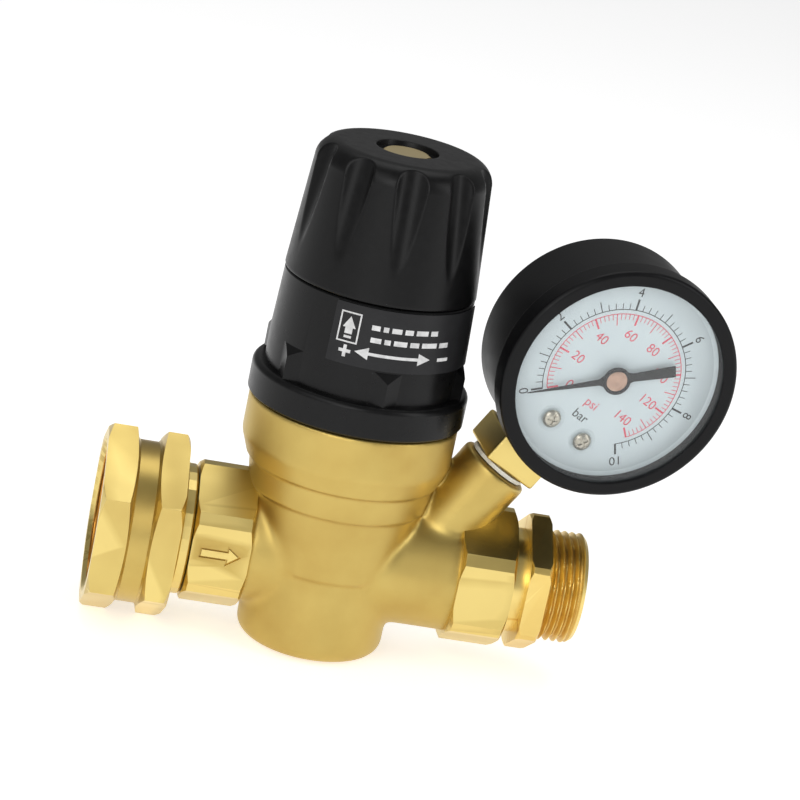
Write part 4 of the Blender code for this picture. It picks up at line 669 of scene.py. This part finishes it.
blank = turned("blank", [(0, FLANGE_HIGH), (16.1, FLANGE_HIGH), (16.9, FLANGE_HIGH - 0.6),
                         (16.9, FLANGE_LOW + 0.6), (16.1, FLANGE_LOW), (0, FLANGE_LOW)], 128)
combine(flange, "INTERSECT", blank)
break_edges(flange, 0.25, 2, 24)
combine(adapter, "UNION", flange)
combine(adapter, "DIFFERENCE", turned("way", [(0, 117), (8.0, 117), (8.0, 86), (0, 86)], 96))
put(adapter, flow)
wear(smooth(adapter, 30), thread_brass, "housing", ["outlet_adapter"])

# %% [markdown]
# The bonnet looks like one moulding: a round flange on the bowl, a hexagon above it, the cylinder
# that carries the label, and a tower inside the knob. The hexagon's top is turned to a cone, so
# each corner ends in a small lens-shaped facet. That comes from crossing the hexagonal bar with
# a turned blank, as for the brass.

# %% Bonnet
FLANGE_BASE = 36.8
HEX_BASE = 44.5
LABEL_BASE = 52.0
LABEL_TOP = 66.7
LABEL_RADIUS = 22.6
TOWER_RADIUS = 17.0
TOWER_TOP = 86.0
HEX_TURN = -83.0
CORNER_RADIUS = 24.2
sunk_base = HEX_BASE - 0.2
brim = [(14, FLANGE_BASE), (24.8, FLANGE_BASE), (25.2, 37.2)] + rounded(23.7, HEX_BASE - 1.5, 1.5, 0, 90)
label_wall = [(LABEL_RADIUS, HEX_BASE), (LABEL_RADIUS, LABEL_BASE),
              (22.0, LABEL_TOP - 0.3), (21.7, LABEL_TOP)]
tower = [(TOWER_RADIUS, LABEL_TOP), (TOWER_RADIUS, TOWER_TOP - 0.6), (16.4, TOWER_TOP), (6.0, TOWER_TOP)]
hollow = [(6.0, 82.0), (9.8, 82.0), (9.8, 78.6), (12.6, 78.6), (12.6, 50.0), (14, 50.0)]
skirt = turned("bonnet_shell", brim + label_wall + tower + hollow, 160)
bonnet_hexagon = hex_bar(41.9, sunk_base, LABEL_BASE, HEX_TURN)
blank = turned("blank", [(15, LABEL_BASE), (LABEL_RADIUS, LABEL_BASE), (CORNER_RADIUS, LABEL_BASE - 2.2),
                         (CORNER_RADIUS, sunk_base), (15, sunk_base)], 160)
combine(bonnet_hexagon, "INTERSECT", blank)
combine(skirt, "UNION", bonnet_hexagon)
break_edges(skirt, 0.22, 2, 24)
put(skirt, bowl)
wear(smooth(skirt, 28), moulded_black, "housing", ["bonnet", "bonnet_tower"])

# %% [markdown]
# The knob has ten scooped flutes. Each is the path of a ball-ended cutter that leans outwards, so
# it makes a round arch at the shoulder and runs out to a point near the skirt. The lands between
# them are wide and the rims are soft. Soft rims don't come from Booleans, so the turned blank is
# spun with many faces and its wall is pressed in to the cutter's path.

# %% Knob
KNOB_BASE = 67.0
KNOB_TOP = 98.0
KNOB_FOOT_RADIUS = 22.2
SHOULDER_RADIUS = 20.3
SHOULDER_ROUND = 5.0
SHOULDER = KNOB_TOP - SHOULDER_ROUND
POCKET_RADIUS = 7.2
FLUTES = 10
FLUTE_TIP = 74
CUTTER = 4.4
FLUTE_DEPTH = 2.95
taper = (KNOB_FOOT_RADIUS - SHOULDER_RADIUS) / (SHOULDER - KNOB_BASE)
FLUTE_AXIS = SHOULDER_RADIUS + CUTTER - FLUTE_DEPTH
tip_reach = SHOULDER_RADIUS + taper * (SHOULDER - FLUTE_TIP)
FLUTE_LEAN = (tip_reach + CUTTER - FLUTE_AXIS) / (KNOB_TOP - FLUTE_TIP)


def outer_wall():
    """The knob's outer line in fine steps, from the pocket over the shoulder to the skirt."""
    round_centre = SHOULDER_RADIUS - SHOULDER_ROUND
    top = [(POCKET_RADIUS + (round_centre - POCKET_RADIUS) * i / 10, KNOB_TOP) for i in range(11)]
    heights = [SHOULDER - 25.6 * i / 54 for i in range(1, 55)]
    side = [(KNOB_FOOT_RADIUS - taper * (z - KNOB_BASE), z) for z in heights]
    corner = rounded(round_centre, SHOULDER, SHOULDER_ROUND, 90, 0, 28)
    return top + corner[1:] + side + [(22.1, 67.15), (21.8, KNOB_BASE)]


inner_wall = [(19.2, KNOB_BASE), (19.2, 71.2), (17.6, 71.2), (17.6, 87.0), (15.2, 89.4), (15.2, 92.0),
              (9.5, 92.0), (9.5, 88.0), (5.3, 88.0)]
knob = turned("fluted_knob", [(5.3, 96.5), (POCKET_RADIUS, 96.5)] + outer_wall() + inner_wall, 360)
SOFTNESS = 0.07
for vertex in knob.data.vertices:
    x, y, z = (c / MM for c in vertex.co)
    reach = math.hypot(x, y)
    inside = reach < 19.3 and z < 92.5
    if reach > 15.0 and z > KNOB_BASE + 1 and not inside:
        turn = (math.atan2(y, x) / math.tau * FLUTES) % 1.0 - 0.5
        swing = turn * math.tau / FLUTES
        axis = FLUTE_AXIS + FLUTE_LEAN * (KNOB_TOP - z)
        side = axis * math.sin(swing)
        if abs(side) < CUTTER:
            wall_reach = axis * math.cos(swing) - math.sqrt(CUTTER ** 2 - side ** 2)
            gap = (reach - wall_reach) / SOFTNESS
            pressed = reach - SOFTNESS * (math.log1p(math.exp(-abs(gap))) + max(gap, 0.0))
            share = pressed / reach
            vertex.co.x *= share
            vertex.co.y *= share
put(knob, bowl)
break_edges(knob, 0.18, 2, 50)
wear(smooth(knob, 50), moulded_black, "knob", ["knob"])

# %% [markdown]
# The spindle's end shows in the knob's counterbore: a pale brass hexagon with a turned round face.
# The nylon washer, the circlip and everything under the bonnet keep their own meshes and only get
# their finishes.

# %% Spindle
SPINDLE_TOP = 97.3
SPINDLE_RADIUS = 5.6
spindle = hex_bar(10.0, 88.0, SPINDLE_TOP)
crown = turned("crown", [(0, SPINDLE_TOP), (4.75, SPINDLE_TOP), (5.75, 96.75), (5.75, 88.0), (0, 88.0)], 64)
combine(spindle, "INTERSECT", crown)
circlip_groove = [(SPINDLE_RADIUS, 87.2), (4.8, 87.2), (4.8, 86.2), (SPINDLE_RADIUS, 86.2)]
collar = [(SPINDLE_RADIUS, 80.6), (9.0, 80.6), (9.0, 78.8)]
shank = turned("shank", [(0, 88.5), (SPINDLE_RADIUS, 88.5)] + circlip_groove + collar
               + [(4.6, 78.8), (4.6, 49.8), (0, 49.8)], 48)
combine(spindle, "UNION", shank)
spindle.name = "spindle_bar"
break_edges(spindle, 0.15, 2, 30)
put(spindle, bowl)
spindle_low, spindle_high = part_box("adjusting_spindle")
print("spindle, mm:", round(spindle_low.z / MM, 1), "to", round(spindle_high.z / MM, 1))
wear(smooth(spindle, 30), pale_brass, "spindle", ["adjusting_spindle"])

# %% [markdown]
# The label is a dark film wrapped on the bonnet, with pale print: a box with an upward arrow, a
# plus, a double-headed arrow, a minus and two lines of small print. The small print here is plain
# bars, because a sentence isn't needed to show where it stands. Each mark is drawn flat and cut in
# narrow strips, and its points are then wrapped round the cylinder just proud of the film.

# %% Label film and print
LABEL_MIDDLE = 22.0
LABEL_HALF = 52.0
FILM_FOOT, FILM_TOP = 52.45, 66.25
FILM_CLEARANCE = 0.15
FILM_THICKNESS = 0.24


def label_radius(height):
    """The tapering radius of the bonnet's cylinder."""
    return LABEL_RADIUS - 0.6 * (height - LABEL_BASE) / (LABEL_TOP - LABEL_BASE)


def wrapped(piece, lift):
    """Wrap flat points, with X along the label and Y its height in millimetres, on the bonnet."""
    for vertex in piece.data.vertices:
        along, height, out = (c / MM for c in vertex.co)
        radius = label_radius(height) + lift + out
        turn = math.radians(LABEL_MIDDLE - 90) + along / LABEL_RADIUS
        vertex.co = Vector((radius * math.cos(turn), radius * math.sin(turn), height)) * MM
    return put(piece, bowl)


def flat_shape(name, corners, strip=1.0):
    """A flat filled outline in millimetres, sliced into strips along X so that it can be wrapped."""
    pick(None)
    bpy.ops.mesh.primitive_circle_add(vertices=len(corners), radius=MM, fill_type="NGON")
    shape = bpy.context.object
    shape.name = name
    for point, (x, y) in zip(shape.data.vertices, corners):
        point.co = (x * MM, y * MM, 0)
    low, high = min(x for x, _ in corners), max(x for x, _ in corners)
    bpy.ops.object.mode_set(mode="EDIT")
    cut_at = low + strip
    while cut_at < high - 0.05:
        bpy.ops.mesh.select_all(action="SELECT")
        bpy.ops.mesh.bisect(plane_co=(cut_at * MM, 0, 0), plane_no=(1, 0, 0))
        cut_at += strip
    bpy.ops.object.mode_set(mode="OBJECT")
    return shape


def rectangle(low_x, high_x, low_y, high_y):
    return [(low_x, low_y), (high_x, low_y), (high_x, high_y), (low_x, high_y)]


def joined(name, pieces):
    """Join several pieces into one."""
    pick(pieces[0])
    for piece in pieces:
        piece.select_set(True)
    bpy.ops.object.join()
    pieces[0].name = name
    return pieces[0]


film_reach = math.radians(LABEL_HALF) * LABEL_RADIUS
film = flat_shape("label_film_sheet", rectangle(-film_reach, film_reach, FILM_FOOT, FILM_TOP))
wrapped(film, FILM_CLEARANCE)
apply_modifier(film, "SOLIDIFY", thickness=FILM_THICKNESS * MM, offset=1.0)
wear(smooth(film, 40), film_grey, "housing", ["label"])

BOX_LEFT, BOX_RIGHT, BOX_FOOT, BOX_TOP = -19.0, -14.2, 57.4, 64.4
LINE = 0.35
ARROW_X = (BOX_LEFT + BOX_RIGHT) / 2
STEM = 0.85
box = [rectangle(BOX_LEFT, BOX_RIGHT, BOX_TOP - LINE, BOX_TOP),
       rectangle(BOX_LEFT, BOX_RIGHT, BOX_FOOT, BOX_FOOT + LINE),
       rectangle(BOX_LEFT, BOX_LEFT + LINE, BOX_FOOT, BOX_TOP),
       rectangle(BOX_RIGHT - LINE, BOX_RIGHT, BOX_FOOT, BOX_TOP)]
up_arrow = [[(ARROW_X - STEM, 59.4), (ARROW_X + STEM, 59.4), (ARROW_X + STEM, 60.8), (ARROW_X + 1.5, 60.8),
             (ARROW_X, 63.4), (ARROW_X - 1.5, 60.8), (ARROW_X - STEM, 60.8)],
            rectangle(ARROW_X - STEM, ARROW_X + STEM, 58.4, 58.95)]
plus = [rectangle(-17.95, -15.25, 55.1, 55.85), rectangle(-16.98, -16.22, 54.1, 56.85)]
minus = [rectangle(5.6, 8.9, 55.4, 56.2)]
double_arrow = [rectangle(-11.6, 0.6, 55.55, 56.25), [(-14.4, 55.9), (-11.3, 54.5), (-11.3, 57.3)],
                [(3.4, 55.9), (0.3, 57.3), (0.3, 54.5)]]
WORD_HEIGHT, WORD_SPACE = 1.15, 0.75
lines = ((-11.6, 61.4, (1.9, 1.2, 2.3, 2.0, 3.0, 1.9)), (-11.4, 58.6, (2.4, 1.4, 3.1, 2.2, 4.0, 2.7)))
words = []
for left, height, lengths in lines:
    for length in lengths:
        words.append(rectangle(left, left + length, height, height + WORD_HEIGHT))
        left += length + WORD_SPACE
marks = box + up_arrow + plus + minus + double_arrow + words
label_print = joined("label_print", [flat_shape("mark", mark, 0.8) for mark in marks])
wrapped(label_print, FILM_CLEARANCE + FILM_THICKNESS + 0.02)
wear(label_print, ink_white, "housing")

# %% [markdown]
# The gauge is a pressed case with a rolled ring that holds the glass. All of it is turned on the
# gauge's own axes and then put in place. The ring's lip catches a thin line of light, so its edges
# are rounded in small steps.

# %% Gauge case, ring and glass
case = turned("enamelled_case", [(0, 0), (24.4, 0)] + rounded(24.4, 1.8, 1.8, -90, 0, 6)
              + [(26.2, 23.3), (25.2, 23.3), (25.2, 1.0), (0, 1.0)], 160, gauge)
stem_axis = Matrix.Translation((0, 0, STEM_DEPTH * MM)) @ Matrix.Rotation(math.radians(-90), 4, "X")
stem_way = turned("stem_way", [(0, -22), (6.3, -22), (6.3, -29), (0, -29)], 48, gauge @ stem_axis)
combine(case, "DIFFERENCE", stem_way)
wear(smooth(case, 35), enamel_black, "housing", ["gauge_case"])

ring = turned("rolled_ring", rounded(24.95, 25.05, 0.45, 180, 90, 4) + rounded(26.9, 24.4, 1.1, 90, 0, 7)
              + rounded(27.6, 19.9, 0.4, 0, -90, 4) + [(26.5, 19.5), (26.5, 24.2), (24.5, 24.2)], 192, gauge)
wear(smooth(ring, 40), ring_black, "housing", ["gauge_bezel"])
coat(lens_glass, "gauge_lens")

# %% [markdown]
# The dial is a thin white plate, turned up a little at its rim and pressed in round its two
# screws. A shallow ball taken away from a disc gives each press mark.

# %% Dial plate
SCREW_ORBIT = 17.0
SCREW_ANGLES = (-107.0, -73.0)
DIAL_TOP = 20.8
DIAL_BACK = 20.2
DIAL_RADIUS = 24.8


def screw_place(angle, level=0.0):
    """Where a dial screw stands, in the gauge's own directions."""
    a = math.radians(angle)
    return Vector((SCREW_ORBIT * math.cos(a), SCREW_ORBIT * math.sin(a), level)) * MM


dial = turned("dial_plate", [(1.6, DIAL_TOP), (1.6, DIAL_BACK), (DIAL_RADIUS, DIAL_BACK),
                             (DIAL_RADIUS, DIAL_TOP + 0.35), (24.4, DIAL_TOP + 0.3), (23.8, DIAL_TOP)], 160)
for angle in SCREW_ANGLES:
    bpy.ops.mesh.primitive_uv_sphere_add(segments=48, ring_count=32, radius=1.0 * MM,
                                         location=screw_place(angle, DIAL_TOP + 0.55))
    ball = bpy.context.object
    ball.scale = (3.9, 3.9, 1.0)
    combine(dial, "DIFFERENCE", ball)
put(dial, gauge)
wear(smooth(dial, 20), dial_white, "housing", ["gauge_dial"])

# %% [markdown]
# The dial carries two scales printed in ink: bar in black with its ticks outwards, and psi in red
# with its ticks inwards. Zero stands at 225 degrees and the scales run clockwise over 270 degrees,
# which is also the pointer's range in the frame. Each tick is a thin rectangle, drawn outwards
# from the centre and then turned to its angle. A strip as wide as the whole mark leaves a flat
# mark unsliced.

# %% Scale arcs and ticks
ZERO = 225.0
SWEEP = 270.0
INK_LEVEL = DIAL_TOP + 0.03
WHOLE = 99.0


def scale_angle(share):
    return math.radians(ZERO - SWEEP * share)


def ticks(scale, count, levels):
    """One tick for each step: levels gives (every, inner, outer, width), heaviest first."""
    made = []
    for step in range(count + 1):
        inner, outer, width = next(size for every, *size in levels if step % every == 0)
        mark = flat_shape("tick", rectangle(inner, outer, -width / 2, width / 2), WHOLE)
        put(mark, Matrix.Rotation(scale_angle(step / count * scale), 4, "Z"))
        made.append(mark)
    return made


def band(radius, width, scale=1.0, steps=120):
    """A printed arc, drawn as the outline between an outer and an inner radius."""
    def line(reach, first, last):
        angles = [scale_angle(scale * (first + (last - first) * i / steps)) for i in range(steps + 1)]
        return [(reach * math.cos(a), reach * math.sin(a)) for a in angles]
    return flat_shape("arc", line(radius - width / 2, 0, 1) + line(radius + width / 2, 1, 0), WHOLE)


def lettering(words, size, x, y, turn=0.0):
    """A short printed word or number, centred at x and y, as a flat mesh."""
    pick(None)
    bpy.ops.object.text_add(location=(0, 0, 0))
    text = bpy.context.object
    text.data.body = words
    text.data.size = size * MM
    text.data.align_x = "CENTER"
    text.data.align_y = "CENTER"
    text.data.resolution_u = 6
    pick(text)
    bpy.ops.object.convert(target="MESH")
    place = Matrix.Translation((x * MM, y * MM, 0)) @ Matrix.Rotation(turn, 4, "Z")
    return put(bpy.context.object, place)


bar_marks = [band(17.0, 0.2)]
bar_marks += ticks(1.0, 50, [(10, 16.95, 19.7, 0.48), (5, 16.95, 19.6, 0.22), (1, 16.95, 18.5, 0.18)])
for number in range(0, 11, 2):
    a = scale_angle(number / 10)
    bar_marks.append(lettering(str(number), 3.1, 21.3 * math.cos(a), 21.3 * math.sin(a), a - math.pi / 2))
bar_marks.append(lettering("bar", 3.2, 0.2, -11.8))
black_print = put(joined("dial_print_black", bar_marks), gauge @ Matrix.Translation((0, 0, INK_LEVEL * MM)))
wear(black_print, ink_black, "housing")

PSI_SHARE = 140 / 145.04
psi_marks = [band(15.9, 0.2, PSI_SHARE)]
psi_marks += ticks(PSI_SHARE, 70, [(10, 13.3, 15.9, 0.44), (5, 13.1, 15.9, 0.22), (1, 14.5, 15.9, 0.17)])
for number in range(0, 141, 20):
    a = scale_angle(number / 140 * PSI_SHARE)
    psi_marks.append(lettering(str(number), 3.2, 10.7 * math.cos(a), 10.7 * math.sin(a)))
psi_marks.append(lettering("psi", 3.2, 0.3, -8.0))
red_print = put(joined("dial_print_red", psi_marks), gauge @ Matrix.Translation((0, 0, INK_LEVEL * MM)))
wear(red_print, ink_red, "housing")

# %% [markdown]
# Each dial screw has a domed head with a cross recess. The cross is cut by two crossed bars.

# %% Dial screws
HEAD_TOP = 22.0


def dial_screw(name, angle, cross_turn, node):
    """A dial screw at that angle of the dial, with its cross turned by cross_turn degrees."""
    head = [(0, HEAD_TOP), (0.9, 21.95), (1.6, 21.75), (2.05, 21.4), (2.2, 21.1)]
    screw = turned(name, head + [(0.9, 21.1), (0.9, 17.2), (0, 17.2)], 48)
    for turn in (cross_turn, cross_turn + 90):
        bpy.ops.mesh.primitive_cube_add(size=1.0, location=(0, 0, HEAD_TOP * MM),
                                        rotation=(0, 0, math.radians(turn)),
                                        scale=(2.5 * MM, 0.5 * MM, 1.0 * MM))
        combine(screw, "DIFFERENCE", bpy.context.object)
    break_edges(screw, 0.06, 2, 40)
    put(screw, gauge @ Matrix.Translation(screw_place(angle)))
    wear(smooth(screw, 30), bright_steel, "housing", [node])


dial_screw("cross_screw_left", SCREW_ANGLES[0], 20.0, "dial_screw_left")
dial_screw("cross_screw_right", SCREW_ANGLES[1], 62.0, "dial_screw_right")

# %% [markdown]
# The pointer is cut from thin sheet: a long taper to a fine tip, a round eye, and a broad tail. It
# points at zero. Its hub is a black ring pressed on the arbor round a copper-coloured centre.

# %% Pointer and hub
BLADE_LEVEL = 21.9
blade = [(20.9, 0.10), (4.0, 0.75)]
eye = [(2.6, 1.5), (1.2, 2.4), (-1.2, 2.4), (-2.6, 1.5)]
tail = [(-4.2, 1.0), (-14.2, 1.4)]
half = blade + eye + tail
pointer = flat_shape("pointer_blade", half + [(x, -y) for x, y in reversed(half)], WHOLE)
apply_modifier(pointer, "SOLIDIFY", thickness=0.35 * MM, offset=1.0)
break_edges(pointer, 0.06, 1, 60)
at_zero = Matrix.Rotation(math.radians(ZERO), 4, "Z")
put(pointer, gauge @ Matrix.Translation((0, 0, BLADE_LEVEL * MM)) @ at_zero)
wear(pointer, pointer_black, "pointer", ["pointer"])
collar = turned("hub_collar", [(2.5, 22.4), (3.3, 22.4)] + rounded(3.0, 22.9, 0.3, 0, 90, 3)
                + rounded(2.8, 22.9, 0.3, 90, 180, 3), 64, gauge)
wear(smooth(collar, 30), pointer_black, "pointer")
centre = turned("hub_centre", [(0, 22.9), (0.5, 22.94), (0.8, 23.08), (2.1, 23.12), (2.46, 22.95),
                               (2.46, 22.45), (0, 22.45)], 48, gauge)
wear(smooth(centre, 40), hub_copper, "pointer", ["pointer_hub"])

# %% [markdown]
# The square block under the case takes the wrench. Its edges are slightly broken, and above it a
# short neck goes into the case. The joint between block and boss shows as a fine dark line.

# %% Gauge socket
half_block = 14.5 / 2
bpy.ops.mesh.primitive_cube_add(size=1.0, location=(0, 0, -30.2 * MM),
                                scale=(2 * half_block * MM, 2 * half_block * MM, 7.4 * MM))
block = put(bpy.context.object, Matrix.Identity(4))
break_edges(block, 0.7, 3, 30)
neck = turned("neck", [(0, -15), (5.6, -15), (5.6, -34.5), (5.0, -34.5), (5.0, -43.9), (0, -43.9)], 64)
combine(block, "UNION", neck)
combine(block, "DIFFERENCE", turned("way", [(0, -19), (1.5, -19), (1.5, -45), (0, -45)], 24))
block.name = "socket_block"
put(block, gauge @ stem_axis)
wear(smooth(block, 30), machined_brass, "housing", ["gauge_socket"])

# %% [markdown]
# What can't be seen without taking the regulator apart keeps the shape it has in the frame. Each
# part still gets the finish of its own material, so an opened or moved model looks right.

# %% Finishes of the inner parts
coat(thread_brass, "inlet_tailpiece", "valve_seat", "valve_holder")
coat(machined_brass, "thrust_ring", "spring_nut")
coat(rubber_black, "inlet_washer", "outlet_seal", "piston_oring", "valve_disc", "diaphragm")
coat(ground_steel, "inlet_screen", "valve_stem", "stem_nut", "spring_plate", "disc_washer", "main_spring",
     "spindle_circlip", "pinion_arbor", "tip_link")
coat(nylon, "slip_ring", "thrust_washer", "gauge_seal")
coat(sheet_brass, "movement_back_plate", "movement_front_plate", "movement_pillar_1", "movement_pillar_2",
     "movement_pillar_3", "sector_gear", "bourdon_tip")
coat(copper, "bourdon_tube", "hairspring")
coat(moulded_black, "lock_ring")
shown = {name: part for name, part in frame["nodes"].items() if not part.hide_render}
print("parts without a finish:", [name for name in shown if not shown[name].data.materials[0].use_nodes])

# %% [markdown]
# Brass looks like what surrounds it. A dim pale room gives an even gold. One soft lamp stands in
# front and a larger one at the upper left, which draws the long highlights. A narrow one at the
# right edges the bowl, one above lights the shoulders, and the blacks get their thin lines from
# the same lamps and from a painted highlight on their sharp edges. The floor is pale and plain and
# glows a little, so it stays white.

# %% Floor and light
floor_height = frame_box[0][2] - 0.0001
bpy.ops.mesh.primitive_circle_add(vertices=96, radius=4.0, fill_type="NGON", location=(0, 0, floor_height))
floor = bpy.context.object
floor.name = "floor"
WHITE = (1.0, 1.0, 1.0, 1.0)
floor_finish = Finish("pale_floor", Roughness=0.8, Emission_Color=WHITE, Emission_Strength=0.55)
floor_tone = floor_finish.mix(floor_finish.noise(3.0), (0.93, 0.93, 0.93, 1), (0.95, 0.95, 0.95, 1))
floor_finish.paint("Base Color", floor_tone)
floor.data.materials.append(floor_finish.material)

world = bpy.data.worlds.new("pale_room")
bpy.context.scene.world = world
world.use_nodes = True
world.node_tree.nodes["Background"].inputs["Color"].default_value = WHITE
world.node_tree.nodes["Background"].inputs["Strength"].default_value = 0.26


def lamp(name, place, power, width, height):
    """A soft rectangular lamp that faces the regulator."""
    light = bpy.data.lights.new(name, "AREA")
    light.shape = "RECTANGLE"
    light.energy = power
    light.size = width
    light.size_y = height
    stand = bpy.data.objects.new(name, light)
    stand.location = Vector(place)
    stand.rotation_euler = (stand.location - target).to_track_quat("Z", "Y").to_euler()
    bpy.context.scene.collection.objects.link(stand)
    return stand


lamp("front_lamp", (-0.22, -0.95, 0.42), 3.0, 0.55, 0.55)
lamp("key_lamp", (-0.65, -0.60, 0.75), 2.5, 0.80, 0.80)
lamp("right_lamp", (0.85, -0.45, 0.45), 2.4, 0.25, 0.80)
lamp("top_lamp", (0.10, 0.30, 1.0), 2.4, 0.80, 0.60)
print("lamps:", len(bpy.data.lights))
